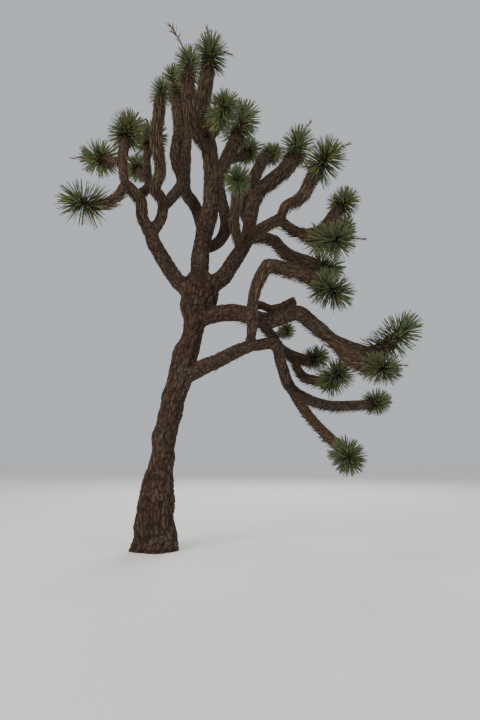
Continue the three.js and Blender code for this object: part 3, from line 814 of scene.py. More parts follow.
@dataclass(frozen=True)
class CorkyBark:
    """Old bark of a Joshua tree.

    It is dry cork that split into plates as the wood swelled: grey-brown and dull where it has
    weathered, red-brown and dark down in the cracks. Under the dead leaves it is matted with
    fibres and paler. It has no shine at all. On the trunk the crack colour is also laid into the
    furrows between the ribs as painted shade.
    """

    crack_and_furrow_shade: str = "#2b1d15"
    warm: str = "#513c2d"
    grey: str = "#6b5c4e"
    matted: str = "#5d4b3a"
    grain_mm: float = 7
    patch_mm: float = 420
    roughness: float = 0.94

    def material(self) -> Material:
        """Makes the finish.

        Returns:
            A material that reads the skin's own "face", "tone" and "shag" values.
        """
        material, add = new_material("corky_bark")
        place = add(Kind.COORDINATES).outputs["Object"]
        own = {}
        for key in ("face", "tone", "shag"):
            reader = add(Kind.ATTRIBUTE)
            reader.attribute_name = key
            own[key] = reader.outputs["Fac"]
        patches = add(Kind.NOISE, Vector=place, Scale=1000 / self.patch_mm, Detail=3)
        fine = 1000 / self.grain_mm
        grain = add(Kind.NOISE, Vector=place, Scale=fine, Detail=5, Roughness=0.62)
        weather = add(Kind.MULTIPLY_ADD, own["tone"], 0.55, patches)
        weathered = add(Kind.RANGE, Value=weather, From_Min=0.45, From_Max=1.1)
        colour = add(Kind.MIX_COLOURS, Factor=weathered, A=linear(self.warm), B=linear(self.grey))
        colour = add(Kind.MIX_COLOURS, Factor=own["shag"], A=colour, B=linear(self.matted))
        # Where "face" is low the crack colour is used: the real dark cracks between the plates, and on
        # the trunk also painted shade in the furrows between the ribs.
        colour = add(Kind.MIX_COLOURS, Factor=own["face"], A=linear(self.crack_and_furrow_shade), B=colour)
        near = {"From_Min": 0.3, "From_Max": 0.7}
        speckle = add(Kind.RANGE, Value=grain, To_Min=0.62, To_Max=1.18, **near)
        colour = add(Kind.SCALED, colour, Scale=speckle)
        bump = add(Kind.BUMP, Height=grain, Strength=0.7, Distance=3 * MM)
        dull = {"Roughness": self.roughness, "Specular_IOR_Level": 0.25}
        shader = add(Kind.SURFACE, Base_Color=colour, Normal=bump, **dull)
        add(Kind.MATERIAL_OUTPUT, Surface=shader)
        return material


@dataclass(frozen=True)
class FibreSkin:
    """The skin of a leaf or a dry stalk, which long hard fibres run through.

    A live blade has a thin wax that hides most of its shine. A dead one is bleached and dull.

    Attributes:
        name: The material's name.
        body: The main colour.
        pale: The colour of the paler streaks and of worn places.
        roughness: How dull it is.
        streak_mm: The size of the streaks, drawn coarser than life so that they show.
    """

    name: str
    body: str
    pale: str
    roughness: float
    streak_mm: float = 16

    def material(self) -> Material:
        """Makes the finish, unless it is made already.

        Returns:
            The material.
        """
        if self.name in bpy.data.materials:
            return bpy.data.materials[self.name]
        material, add = new_material(self.name)
        place = add(Kind.COORDINATES).outputs["Object"]
        fine = 1000 / self.streak_mm
        streaks = add(Kind.NOISE, Vector=place, Scale=fine, Detail=4, Roughness=0.6)
        share = add(Kind.RANGE, Value=streaks, From_Min=0.38, From_Max=0.74, To_Max=0.8)
        colour = add(Kind.MIX_COLOURS, Factor=share, A=linear(self.body), B=linear(self.pale))
        bump = add(Kind.BUMP, Height=streaks, Strength=0.35, Distance=1 * MM)
        dull = {"Roughness": self.roughness, "Specular_IOR_Level": 0.35}
        shader = add(Kind.SURFACE, Base_Color=colour, Normal=bump, **dull)
        add(Kind.MATERIAL_OUTPUT, Surface=shader)
        return material


LIVE_SKINS = (
    FibreSkin("live_leaf_olive", "#4f5c38", "#77804f", 0.5),
    FibreSkin("live_leaf_grey_green", "#53634a", "#7f8a68", 0.52),
    FibreSkin("live_leaf_yellow_green", "#666a3a", "#8c8752", 0.5),
)
DEAD_SKINS = (
    FibreSkin("dead_leaf_tan", "#77644a", "#9a8766", 0.8),
    FibreSkin("dead_leaf_grey", "#5f5346", "#837562", 0.85),
    FibreSkin("dead_leaf_brown", "#4c3a2b", "#6d563f", 0.85),
)
LEAF_SPINE = FibreSkin("leaf_spine", "#39261a", "#5a3d27", 0.55)
DRY_STALK = FibreSkin("dry_flower_stalk", "#5c4834", "#806850", 0.8)
BROKEN_WOOD = FibreSkin("broken_wood", "#66543f", "#8f7a5f", 0.85, streak_mm=9)


def plain_mesh(name: str, points: Array, faces: Array) -> Mesh:
    """Makes a mesh from arrays.

    Args:
        name: Its name.
        points: The vertices, one row each.
        faces: The triangles, as rows of three vertex numbers.

    Returns:
        The mesh.
    """
    mesh = bpy.data.meshes.new(name)
    mesh.vertices.add(len(points))
    mesh.vertices.foreach_set("co", np.asarray(points, np.float32).ravel())
    mesh.loops.add(3 * len(faces))
    mesh.loops.foreach_set("vertex_index", np.asarray(faces, np.int32).ravel())
    mesh.polygons.add(len(faces))
    mesh.polygons.foreach_set("loop_start", np.arange(0, 3 * len(faces), 3, dtype=np.int32))
    mesh.update(calc_edges=True)
    mesh.validate()
    return mesh


def shown(name: str, data: bpy.types.ID) -> Object:
    """Puts a mesh, a light or a camera in the scene as an object at the origin."""
    piece = bpy.data.objects.new(name, data)
    bpy.context.scene.collection.objects.link(piece)
    return piece


def declare(piece: Object) -> None:
    """Ties a finished piece to the tree's one body and reports it.

    Args:
        piece: The piece.
    """
    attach(piece, "root")
    LOG.info("%s: %d faces", piece.name, len(piece.data.polygons))


def applied(piece: Object, modifier: Modifier) -> Mesh:
    """Bakes an object's modifier into a plain mesh, and takes the modifier off.

    Args:
        piece: The object.
        modifier: Its only modifier.

    Returns:
        The new mesh, which the object now has.
    """
    graph = bpy.context.evaluated_depsgraph_get()
    mesh = bpy.data.meshes.new_from_object(piece.evaluated_get(graph))
    piece.modifiers.remove(modifier)
    old = piece.data
    piece.data = mesh
    bpy.data.meshes.remove(old)
    return mesh


def vertex_array(mesh: Mesh) -> Array:
    """The vertices of a mesh, one row each."""
    flat = np.zeros(3 * len(mesh.vertices), np.float32)
    mesh.vertices.foreach_get("co", flat)
    return flat.reshape(-1, 3).astype(float)


def triangle_array(mesh: Mesh) -> Array:
    """The triangles of a mesh, as rows of three vertex numbers."""
    mesh.calc_loop_triangles()
    flat = np.zeros(3 * len(mesh.loop_triangles), np.int32)
    mesh.loop_triangles.foreach_get("vertices", flat)
    return flat.reshape(-1, 3)


def write_values(mesh: Mesh, name: str, values: Array) -> None:
    """Stores one number or one vector for each vertex of a mesh."""
    kind, key = ("FLOAT", "value") if values.ndim == 1 else ("FLOAT_VECTOR", "vector")
    attribute = mesh.attributes.new(name, kind, "POINT")
    attribute.data.foreach_set(key, values.astype(np.float32).ravel())


def closed_tube(rings: Array) -> tuple[Array, Array]:
    """Skins a row of rings and closes both ends.

    Args:
        rings: The points of each ring, in an array of rings, sides and coordinates.

    Returns:
        The points and the triangles.
    """
    count, sides = rings.shape[:2]
    points = np.vstack([rings.reshape(-1, 3), rings[0].mean(axis=0), rings[-1].mean(axis=0)])
    here = np.arange(sides)
    after = (here + 1) % sides
    faces = []
    for start in range(0, (count - 1) * sides, sides):
        low, high = start + here, start + after
        faces.append(np.stack([low, high, high + sides], axis=1))
        faces.append(np.stack([low, high + sides, low + sides], axis=1))
    foot, head = count * sides, count * sides + 1
    last = (count - 1) * sides
    faces.append(np.stack([after, here, np.full(sides, foot)], axis=1))
    faces.append(np.stack([last + here, last + after, np.full(sides, head)], axis=1))
    return points, np.vstack(faces)


def triangle_sides(faces: Array) -> Array:
    """The sides of all the triangles, as pairs of vertex numbers in the triangles' own sense."""
    return np.vstack([faces[:, [0, 1]], faces[:, [1, 2]], faces[:, [2, 0]]])


def round_about(angle: Array, side: Array, over: Array) -> Array:
    """The directions at some angles round a line.

    Args:
        angle: The angles, in a row for each place on the line.
        side: The direction of angle 0 at each place.
        over: The direction a quarter turn on.

    Returns:
        The directions, by place and by angle.
    """
    across = np.cos(angle)[..., None] * side[..., None, :]
    return across + np.sin(angle)[..., None] * over[..., None, :]


def joined(parts: list[tuple[Array, Array]]) -> tuple[Array, Array]:
    """Joins sets of points and triangles into one."""
    starts = np.cumsum([0] + [len(points) for points, _ in parts])
    points = np.vstack([points for points, _ in parts])
    faces = np.vstack([faces + start for (_, faces), start in zip(parts, starts)])
    return points, faces


@dataclass
class Place:
    """Where each point of the skin is on a limb.

    Attributes:
        row: The nearest step, numbered through all the limbs.
        gap: The distance from it, in radii of the limb.
    """

    row: Array
    gap: Array


def rib_crest(turn: Array) -> Array:
    """How far up a rib of the trunk each angle is, from 0 in a furrow to 1 on a crest."""
    return np.abs(np.sin(turn * RIBS / 2)) ** RIB_FULLNESS


@dataclass
class BarkSkin:
    """One skin of furrowed bark over the trunk, the limbs and the stems.

    Attributes:
        skeleton: The middle lines that it covers.
        voxel: The size of its mesh, in metres.
        plate_width: The width of a bark plate on the trunk and on a thin limb, in metres.
        plate_length: How many times longer than wide a plate is.
        crack_depth: The depth of the cracks on the trunk and on a thin limb, in metres.
        swell: How far the wood swells and shrinks along the limbs, in metres.
        fork_rounds: How often a fork is smoothed.
        least_sunk: How far smoothing may sink a crest, in metres.
        rib_depth: The depth of the trunk's deepest ribs, in metres.
        rib_share: The depth of a rib as a share of the trunk's radius there.
        root_fade: The height over which the swells of the roots fade, in metres.
        sag: How far dead leaves sag, as a share of the way that they point back.
        tufts_above: The height above which old boughs keep tufts of dead leaves, in metres.
        worn_top: How much of its dead leaves a limb has lost on its upper side, as a share.
        END_RINGS: How far round each ring of a rounded end is, in degrees.
        NEAR: How far from a limb its bark is looked for, in radii.
        BLOCK: How many points are measured at once, which spares memory.
        FORK_SPAN: How much nearer than the next a limb is where a fork begins and ends.
        FORK_REACH: How far from the next limb a fork is smoothed, in radii.
        EVEN_ROUNDS: How many of the rounds smooth all the bark.
        WANDERS: How the plates stray: size in plates, strength and number of each noise.
        PLATE_SIZES: The radii of limbs with the smallest and the largest plates.
        FINER: How much finer the plates are that each plate is split into.
        SWELLS: The size of the swells, their share of the depth and their noise.
        ROUGH: The size and the height of rough bark, and its noise.
        TUFTS: The size of the patches that keep tufts, and their noise.
        BLEND: How much nearer than the next a limb is where its plates are all its own.
        PLATES, SPLITS: The patterns of the plates and of what they are split into.
        SPLIT_SHIFT: How far the second pattern is moved from the first, in plates.
        TURN_ROUNDS: How many rounds it takes to find where the ribs came from.
        SPACING: How far apart the limbs' patterns are in the noise, in metres.
    """

    SIDES = 28
    TRUNK_SIDES = 96
    END_RINGS = (25, 50, 75)
    NEAR = 1.8
    BLOCK = 20000
    FORK_SPAN = (0.05, 0.45)
    FORK_REACH = 1.7
    EVEN_ROUNDS = 3
    WANDERS = ((4.0, 0.55, 61), (1.1, 0.3, 64))
    PLATE_SIZES = (0.06, 0.2)
    FINER = (1.7, 1.7, 3.3)
    SWELLS = ((26 * CM, 0.7, 71), (9 * CM, 0.45, 72))
    ROUGH = (2.6 * CM, 2.2 * MM, 73)
    TUFTS = (17 * CM, 81)
    BLEND = 0.12
    PLATES, SPLITS = 11, 31
    SPLIT_SHIFT = 5.0
    TURN_ROUNDS = 6
    SPACING = 3.0

    skeleton: Skeleton
    voxel: float = 11.6 * MM
    plate_width: tuple[float, float] = (4.4 * CM, 2.4 * CM)
    plate_length: float = 3.1
    crack_depth: tuple[float, float] = (13 * MM, 9 * MM)
    swell: float = 10 * MM
    fork_rounds: int = 26
    least_sunk: float = 3 * MM
    rib_depth: float = 20 * MM
    rib_share: float = 0.1
    root_fade: float = 34 * CM
    sag: float = 0.42
    tufts_above: float = 2.2
    worn_top: float = 0.85
    points: Array = field(init=False)
    faces: Array = field(init=False)
    values: dict[str, Array] = field(init=False)

    def build(self) -> dict[Region, Object]:
        """Makes the bark.

        Returns:
            The closed piece of each region.
        """
        self._cover()
        first, second = self._places()
        self._soften(first, second)
        first, second = self._places()
        self._split_into_plates(first, second)
        regions = self._regions(first)
        pieces = {}
        for region in Region:
            name = f"bark_{region.value}"
            pieces[region] = shown(name, self._piece(name, regions == list(Region).index(region)))
        self._cut_at_the_ground(pieces[Region.TRUNK])
        return pieces

    def dress(self, pieces: dict[Region, Object]) -> None:
        """Gives the bark its finish, and lets each piece stand for the nodes that it covers.

        Args:
            pieces: The piece of each region.
        """
        finish = CorkyBark().material()
        nodes = {region: [g.name for g in LIMBS if g.region is region] for region in Region}
        nodes[Region.TRUNK] = ["trunk"]
        for region, piece in pieces.items():
            piece.data.materials.clear()
            piece.data.materials.append(finish)
            hang = piece.data.attributes.get("hang")
            if hang is not None:
                piece.data.attributes.remove(hang)
            declare(piece)
            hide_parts(*nodes[region])

    def whole(self) -> Object:
        """The skin before it is parted, for the leaves to keep clear of."""
        return shown("whole_skin", plain_mesh("whole_skin", self.points, self.faces))

    def _cover(self) -> None:
        """Joins a tube for each limb into one closed skin of even faces."""
        tubes = [closed_tube(self._rings(axis)) for axis in self.skeleton.axes]
        rough = shown("rough_wood", plain_mesh("rough_wood", *joined(tubes)))
        remesh = rough.modifiers.new("even_faces", "REMESH")
        remesh.mode = "VOXEL"
        remesh.voxel_size = self.voxel
        mesh = applied(rough, remesh)
        self.points = vertex_array(mesh)
        self.faces = triangle_array(mesh)
        bpy.data.objects.remove(rough)

    def _rings(self, axis: Axis) -> Array:
        """Draws the rings of a limb's tube, with a rounded end unless it is broken.

        Args:
            axis: The limb's middle line.

        Returns:
            The points, by ring, side and coordinate.
        """
        trunk = axis.name == "trunk"
        sides = self.TRUNK_SIDES if trunk else self.SIDES
        turn = np.linspace(0, 2 * math.pi, sides, endpoint=False)
        rows = list(range(len(axis.points)))
        rise = np.zeros(len(rows))
        shrink = np.ones(len(rows))
        if not axis.broken:
            swung = np.radians(self.END_RINGS)
            rows += [rows[-1]] * len(swung)
            rise = np.concatenate([rise, np.sin(swung)])
            shrink = np.concatenate([shrink, np.cos(swung)])
        radius = axis.radius[rows]
        centres = axis.points[rows] + axis.ahead[rows] * (rise * radius)[:, None]
        spread = np.tile(radius[:, None], (1, sides))
        angle = np.tile(turn, (len(rows), 1))
        if trunk:
            height = axis.points[rows, 2][:, None]
            angle = angle + np.radians(waves(RIB_WANDER, angle, height))
            spread = self._ribbed(spread, turn[None, :], height)
        around = round_about(angle, axis.side[rows], axis.over[rows])
        return centres[:, None, :] + (shrink[:, None] * spread)[:, :, None] * around

    def _ribbed(self, radius: Array, turn: Array, height: Array) -> Array:
        """The trunk's radius with its ribs, swells and roots, as the solid has them.

        Args:
            radius: The plain radius.
            turn: The angle round the trunk before the ribs wander.
            height: The height.

        Returns:
            The radius.
        """
        depth = np.minimum(self.rib_depth, self.rib_share * radius)
        strength = 1 + waves(RIB_STRENGTH, turn, height)
        fade = np.exp(-np.clip(height, 0, None) / self.root_fade)
        roots = waves(ROOT_SWELLS, turn, height) * fade
        swells = waves(TRUNK_SWELLS, turn, height) * MM
        return radius * (1 + roots) + depth * strength * (rib_crest(turn) - RIB_MEAN) + swells

    def _places(self) -> tuple[Place, Place]:
        """Finds the nearest limb of every point, and the nearest one after that.

        Returns:
            The nearest and the second nearest.
        """
        count = len(self.points)
        first, second = (Place(np.zeros(count, int), np.full(count, FAR)) for _ in range(2))
        start = 0
        for axis in self.skeleton.axes:
            room = self.NEAR * axis.radius.max()
            low, high = axis.points.min(axis=0) - room, axis.points.max(axis=0) + room
            near = np.flatnonzero(np.all((self.points > low) & (self.points < high), axis=1))
            for block in np.array_split(near, len(near) // self.BLOCK + 1):
                apart = self.points[block][:, None, :] - axis.points[None, :, :]
                gaps = np.linalg.norm(apart, axis=2) / axis.radius[None, :]
                rows = gaps.argmin(axis=1)
                gaps = gaps[np.arange(len(block)), rows]
                closer = gaps < first.gap[block]
                moved = block[closer]
                second.row[moved], second.gap[moved] = first.row[moved], first.gap[moved]
                first.row[moved], first.gap[moved] = rows[closer] + start, gaps[closer]
                between = ~closer & (gaps < second.gap[block])
                second.row[block[between]] = rows[between] + start
                second.gap[block[between]] = gaps[between]
            start += len(axis.points)
        return first, second

    def _along_all(self, name: str) -> Array:
        """One of the lists of the middle lines, run through all the limbs."""
        return np.concatenate([getattr(axis, name) for axis in self.skeleton.axes])

    def _through_all(self, numbers: list[float]) -> Array:
        """A number for each limb, repeated for each step of its middle line."""
        return np.repeat(numbers, [len(axis.points) for axis in self.skeleton.axes])

    def _mean_radius(self) -> Array:
        """The mean radius of its limb, for each step of all the middle lines."""
        return self._through_all([axis.radius.mean() for axis in self.skeleton.axes])

    def _soften(self, first: Place, second: Place) -> None:
        """Rounds the voxel steps off everywhere, and the creases in the forks further.

        Args:
            first: The nearest limb of every point.
            second: The second nearest.
        """
        fork = 1 - smooth_step(second.gap - first.gap, *self.FORK_SPAN)
        fork = fork * (second.gap < self.FORK_REACH)
        before = self.points.copy()
        outward = self._normals()
        ends = triangle_sides(self.faces)
        count = len(self.points)
        degree = np.bincount(ends[:, 0], minlength=count).astype(float)
        for step in range(self.fork_rounds):
            pull = 0.5 * fork if step >= self.EVEN_ROUNDS else np.full(count, 0.5)
            columns = self.points[ends[:, 1]].T
            sums = [np.bincount(ends[:, 0], column, minlength=count) for column in columns]
            mean = np.stack(sums, axis=1) / degree[:, None]
            self.points += (mean - self.points) * pull[:, None]
        sunk = np.minimum(((self.points - before) * outward).sum(axis=1) + self.least_sunk, 0)
        self.points -= outward * sunk[:, None]

    def _normals(self) -> Array:
        """The outward direction at every point."""
        a, b, c = (self.points[self.faces[:, k]] for k in range(3))
        count = len(self.points)
        sums = [
            sum(np.bincount(corner, column, minlength=count) for corner in self.faces.T)
            for column in np.cross(b - a, c - a).T
        ]
        return unit(np.stack(sums, axis=1))

    def _straightened(self, rows: Array) -> Array:
        """The points as they would be if their limbs were straight and even posts.

        Args:
            rows: The step of the limb that each point belongs to.

        Returns:
            For each point, its place round the post and its height on it.
        """
        apart = self.points - self._along_all("points")[rows]
        across, over, ahead = (
            (apart * self._along_all(way)[rows]).sum(axis=1) for way in ("side", "over", "ahead")
        )
        offset = self._through_all([self.SPACING * k for k in range(len(self.skeleton.axes))])
        spread = self._mean_radius()[rows] / np.maximum(np.hypot(across, over), MM)
        height = self._along_all("along")[rows] + ahead + offset[rows]
        return np.stack([across * spread, over * spread, height], axis=1)

    def _relief(self, place: Place) -> tuple[Array, Array, Array]:
        """The bark's relief as one limb alone would have it.

        Args:
            place: The limb and the step that each point belongs to.

        Returns:
            The height of the relief in metres, how far each point is out of the cracks from 0
            to 1, and its plate's own number.
        """
        size = smooth_step(self._mean_radius()[place.row], *self.PLATE_SIZES)
        width, depth = (
            thin + size * (thick - thin) for thick, thin in (self.plate_width, self.crack_depth)
        )
        straight = self._straightened(place.row)
        wander = np.zeros_like(straight)
        for coarse, strength, salt in self.WANDERS:
            field_at = straight / (coarse * width[:, None])
            for k in range(3):
                wander[:, k] += strength * soft_noise(field_at, salt + k)
        scaled = straight / width[:, None] / np.array([1, 1, self.plate_length]) + wander
        edge, tone = plates(scaled, self.PLATES)
        split = scaled * np.array(self.FINER) + self.SPLIT_SHIFT
        fine_edge, fine_tone = plates(split, self.SPLITS)
        face = smooth_step(edge, -0.05, 0.42)
        fine = smooth_step(fine_edge, 0.0, 0.34)
        crumbs = 0.26 * (fine - 0.7) + 0.3 * (fine_tone - 0.5)
        height = depth * (face - 0.75 + 0.35 * (tone - 0.5) + crumbs)
        return height, face * (0.6 + 0.4 * fine), 0.5 * (tone + fine_tone)

    def _split_into_plates(self, first: Place, second: Place) -> None:
        """Moves the skin out and in by the bark's relief and by the wood's own swells.

        Args:
            first: The nearest limb of every point.
            second: The second nearest.
        """
        blend = 0.5 * (1 - smooth_step(second.gap - first.gap, 0.0, self.BLEND))
        height, face, tone = (
            here + (there - here) * blend
            for here, there in zip(self._relief(first), self._relief(second))
        )
        shag = self._along_all("shag")[first.row]
        radius = self._along_all("radius")[first.row]
        swells = sum(part * soft_noise(self.points / size, salt) for size, part, salt in self.SWELLS)
        size, rise, salt = self.ROUGH
        trunk = self._on_trunk(first)
        height = height * (1 - 0.5 * shag)
        height += self.swell * swells * np.clip(radius / (12 * CM), 0.5, 1.3) * (1 - 0.7 * trunk)
        height += rise * soft_noise(self.points / size, salt)
        self.points += self._normals() * height[:, None]
        # Painted shade: on the trunk, the furrows between the ribs are pushed by up to 0.6 toward the
        # dark crack colour.
        face *= 1 - trunk * (1 - smooth_step(rib_crest(self._turns(first)), 0.1, 0.75)) * 0.6
        self.values = {"face": face, "tone": tone, "shag": shag, **self._thatch_hints(first, shag)}

    def _on_trunk(self, place: Place) -> Array:
        """1 for each point that is on the trunk and 0 for the others."""
        return (place.row < len(self.skeleton.axes[0].points)).astype(float)

    def _turns(self, place: Place) -> Array:
        """Finds how far round its limb each point is, before the trunk's ribs wander.

        Args:
            place: The limb and the step that each point belongs to.

        Returns:
            The angles.
        """
        apart = self.points - self._along_all("points")[place.row]
        turn = angle = np.arctan2(apart[:, 1], apart[:, 0])
        for _ in range(self.TURN_ROUNDS):
            turn = angle - np.radians(waves(RIB_WANDER, turn, self.points[:, 2]))
        return turn

    def _thatch_hints(self, first: Place, shag: Array) -> dict[str, Array]:
        """Works out where dead leaves still lie on the bark and which way they hang.

        They point back along the limb and sag a little, but never into the wood. Here and there
        a tuft is left on older boughs.

        Args:
            first: The nearest limb of every point.
            shag: How shaggy the limb is there.

        Returns:
            The "cover" and the "hang" of every point.
        """
        outward = self._normals()
        sag = np.tile([0.0, 0.0, -self.sag], (len(self.points), 1))
        into = np.minimum((sag * outward).sum(axis=1), 0)
        hang = unit(sag - outward * into[:, None] + self._along_all("back")[first.row])
        to_tip = self._along_all("to_tip")[first.row]
        size, salt = self.TUFTS
        tufts = smooth_step(soft_noise(self.points / size, salt), 0.34, 0.5)
        tufts *= smooth_step(to_tip, 3.1, 1.9) * smooth_step(-outward[:, 2], -0.2, 0.5)
        tufts *= self.points[:, 2] > self.tufts_above
        cover = np.maximum(shag, 0.6 * tufts) * smooth_step(to_tip, 0.04, 0.16)
        cover *= 1 - self.worn_top * smooth_step(outward[:, 2], 0.15, 0.75)
        return {"cover": cover, "hang": hang}

    def _regions(self, first: Place) -> Array:
        """The region of every triangle, as most of its corners have it."""
        order = list(Region)
        numbers = self._through_all([order.index(axis.region) for axis in self.skeleton.axes])
        corners = np.sort(numbers[first.row][self.faces], axis=1)
        return corners[:, 1]

    def _piece(self, name: str, chosen: Array) -> Mesh:
        """Makes a closed mesh of some of the triangles.

        Each open border is closed by a fan inside the wood, with sharp edges so that the fan
        doesn't shade the bark beside it.

        Args:
            name: The mesh's name.
            chosen: Which triangles it has.

        Returns:
            The mesh, with the skin's values on its vertices.
        """
        faces = self.faces[chosen]
        used, flat = np.unique(faces, return_inverse=True)
        faces = flat.reshape(-1, 3)
        points = self.points[used]
        values = {key: stored[used] for key, stored in self.values.items()}
        count = len(points)
        ends = triangle_sides(faces)
        forward = ends[:, 0] * count + ends[:, 1]
        backward = ends[:, 1] * count + ends[:, 0]
        border = ends[~np.isin(forward, backward)]
        caps = []
        centres = []
        for loop in self._loops(border):
            centre = count + len(centres)
            centres.append(points[loop].mean(axis=0))
            caps += [(after, here, centre) for here, after in zip(loop, loop[1:] + loop[:1])]
        if centres:
            points = np.vstack([points, centres])
            faces = np.vstack([faces, caps])
            for key, stored in values.items():
                fill = np.zeros((len(centres),) + stored.shape[1:])
                values[key] = np.concatenate([stored, fill])
        mesh = plain_mesh(name, points, faces)
        mesh.shade_smooth()
        for key, stored in values.items():
            write_values(mesh, key, stored)
        edges = np.zeros(2 * len(mesh.edges), np.int32)
        mesh.edges.foreach_get("vertices", edges)
        edges = np.sort(edges.reshape(-1, 2), axis=1)
        rim = np.sort(border, axis=1)
        sharp = np.isin(edges[:, 0] * count + edges[:, 1], rim[:, 0] * count + rim[:, 1])
        marks = mesh.attributes.new("sharp_edge", "BOOLEAN", "EDGE")
        marks.data.foreach_set("value", sharp)
        return mesh

    @staticmethod
    def _loops(border: Array) -> list[list[int]]:
        """Strings directed border edges into closed loops.

        Args:
            border: The edges, as pairs of vertex numbers.

        Returns:
            The vertex numbers of each loop.
        """
        after: dict[int, list[int]] = {}
        for here, there in border.tolist():
            after.setdefault(here, []).append(there)
        loops = []
        while after:
            start = next(iter(after))
            loop = [start]
            while True:
                here = loop[-1]
                there = after[here].pop()
                if not after[here]:
                    del after[here]
                if there == start:
                    break
                loop.append(there)
            loops.append(loop)
        return loops

    @staticmethod
    def _cut_at_the_ground(piece: Object) -> None:
        """Cuts the trunk off flat at ground level and closes the cut.

        Args:
            piece: The trunk's bark.
        """
        shape = bmesh.new()
        shape.from_mesh(piece.data)
        everything = shape.verts[:] + shape.edges[:] + shape.faces[:]
        cut = bmesh.ops.bisect_plane(
            shape, geom=everything, plane_co=(0, 0, 0), plane_no=(0, 0, 1), clear_inner=True
        )
        rim = [item for item in cut["geom_cut"] if isinstance(item, bmesh.types.BMEdge)]
        foot = bmesh.ops.holes_fill(shape, edges=rim, sides=0)["faces"]
        for edge in rim:
            edge.smooth = False
        for face in foot:
            face.smooth = False
        bmesh.ops.triangulate(shape, faces=foot)
        shape.to_mesh(piece.data)
        shape.free()


@dataclass(frozen=True)
class BladeForm:
    """The shape of one leaf, one unit long, drawn along its own Z with its upper side to Y.

    Attributes:
        name: The mesh's name.
        rows: Where its sections are, as shares of its length.
        widths: The width of each section, as a share of the length.
        keel: How deep the keel under it is, as a share of its width.
        hollow: How deep the gutter on top is, as a share of its width, or 0 for a flat top.
        bow: How far the tip bends back, as a share of the length.
        sway: How far the tip bends to one side.
        twist: How far the tip turns on the leaf's own line, in degrees.
    """

    name: str
    rows: tuple[float, ...]
    widths: tuple[float, ...]
    keel: float
    hollow: float
    bow: float
    sway: float
    twist: float

    def build(self, collection: Collection) -> None:
        """Makes the leaf as a closed mesh of a few faces.

        Args:
            collection: What it is put in.
        """
        section = [(-0.5, 0.0), (0.0, -self.keel), (0.5, 0.0)]
        if self.hollow:
            section.append((0.0, -self.hollow))
        sides = len(section)
        points = []
        for row, width in zip(self.rows, self.widths):
            turn = math.radians(self.twist) * row
            for across, over in section:
                x = across * math.cos(turn) - over * math.sin(turn)
                y = across * math.sin(turn) + over * math.cos(turn)
                points.append(
                    (x * width + self.sway * row * row, y * width - self.bow * row * row, row)
                )
        points.append((self.sway, -self.bow, 1.0))
        tip = len(points) - 1
        faces = []
        for start in range(0, tip - sides, sides):
            for k in range(sides):
                low, high = start + k, start + (k + 1) % sides
                faces += [(low, high, high + sides), (low, high + sides, low + sides)]
        last = tip - sides
        faces += [(last + k, last + (k + 1) % sides, tip) for k in range(sides)]
        faces += [(0, k + 1, k) for k in range(1, sides - 1)]
        mesh = plain_mesh(self.name, np.array(points), np.array(faces))
        spine = mesh.attributes.new("spine", "BOOLEAN", "FACE")
        at_tip = np.array([tip in polygon.vertices for polygon in mesh.polygons])
        spine.data.foreach_set("value", at_tip)
        collection.objects.link(bpy.data.objects.new(self.name, mesh))


LIVE_ROWS = (0, 0.5, 0.9)
LIVE_BLADES = (
    BladeForm("live_blade_straight", LIVE_ROWS, (0.09, 0.094, 0.052), 0.34, 0.1, 0, 0, 0),
    BladeForm("live_blade_bowed", LIVE_ROWS, (0.086, 0.088, 0.048), 0.34, 0.1, 0.06, 0.02, 14),
    BladeForm("live_blade_raised", LIVE_ROWS, (0.084, 0.086, 0.048), 0.34, 0.1, -0.04, 0.02, -12),
)
DEAD_ROWS = (0, 0.35, 0.75)
DEAD_BLADES = (
    BladeForm("dead_blade_hooked", DEAD_ROWS, (0.085, 0.07, 0.042), 0.3, 0, 0.1, 0.05, 60),
    BladeForm("dead_blade_bent", DEAD_ROWS, (0.08, 0.062, 0.038), 0.3, 0, -0.06, -0.06, -80),
    BladeForm("dead_blade_flat", DEAD_ROWS, (0.088, 0.068, 0.04), 0.3, 0, 0.03, -0.03, 35),
)
BRACT_ROWS = (0, 0.5)
BRACTS = (
    BladeForm("bract_open", BRACT_ROWS, (0.2, 0.16), 0.25, 0, 0.12, 0.03, 20),
    BladeForm("bract_closed", BRACT_ROWS, (0.18, 0.13), 0.25, 0, -0.1, -0.03, -15),
)
SKIN_INPUTS = ("First Skin", "Second Skin", "Third Skin", "Tip Skin")


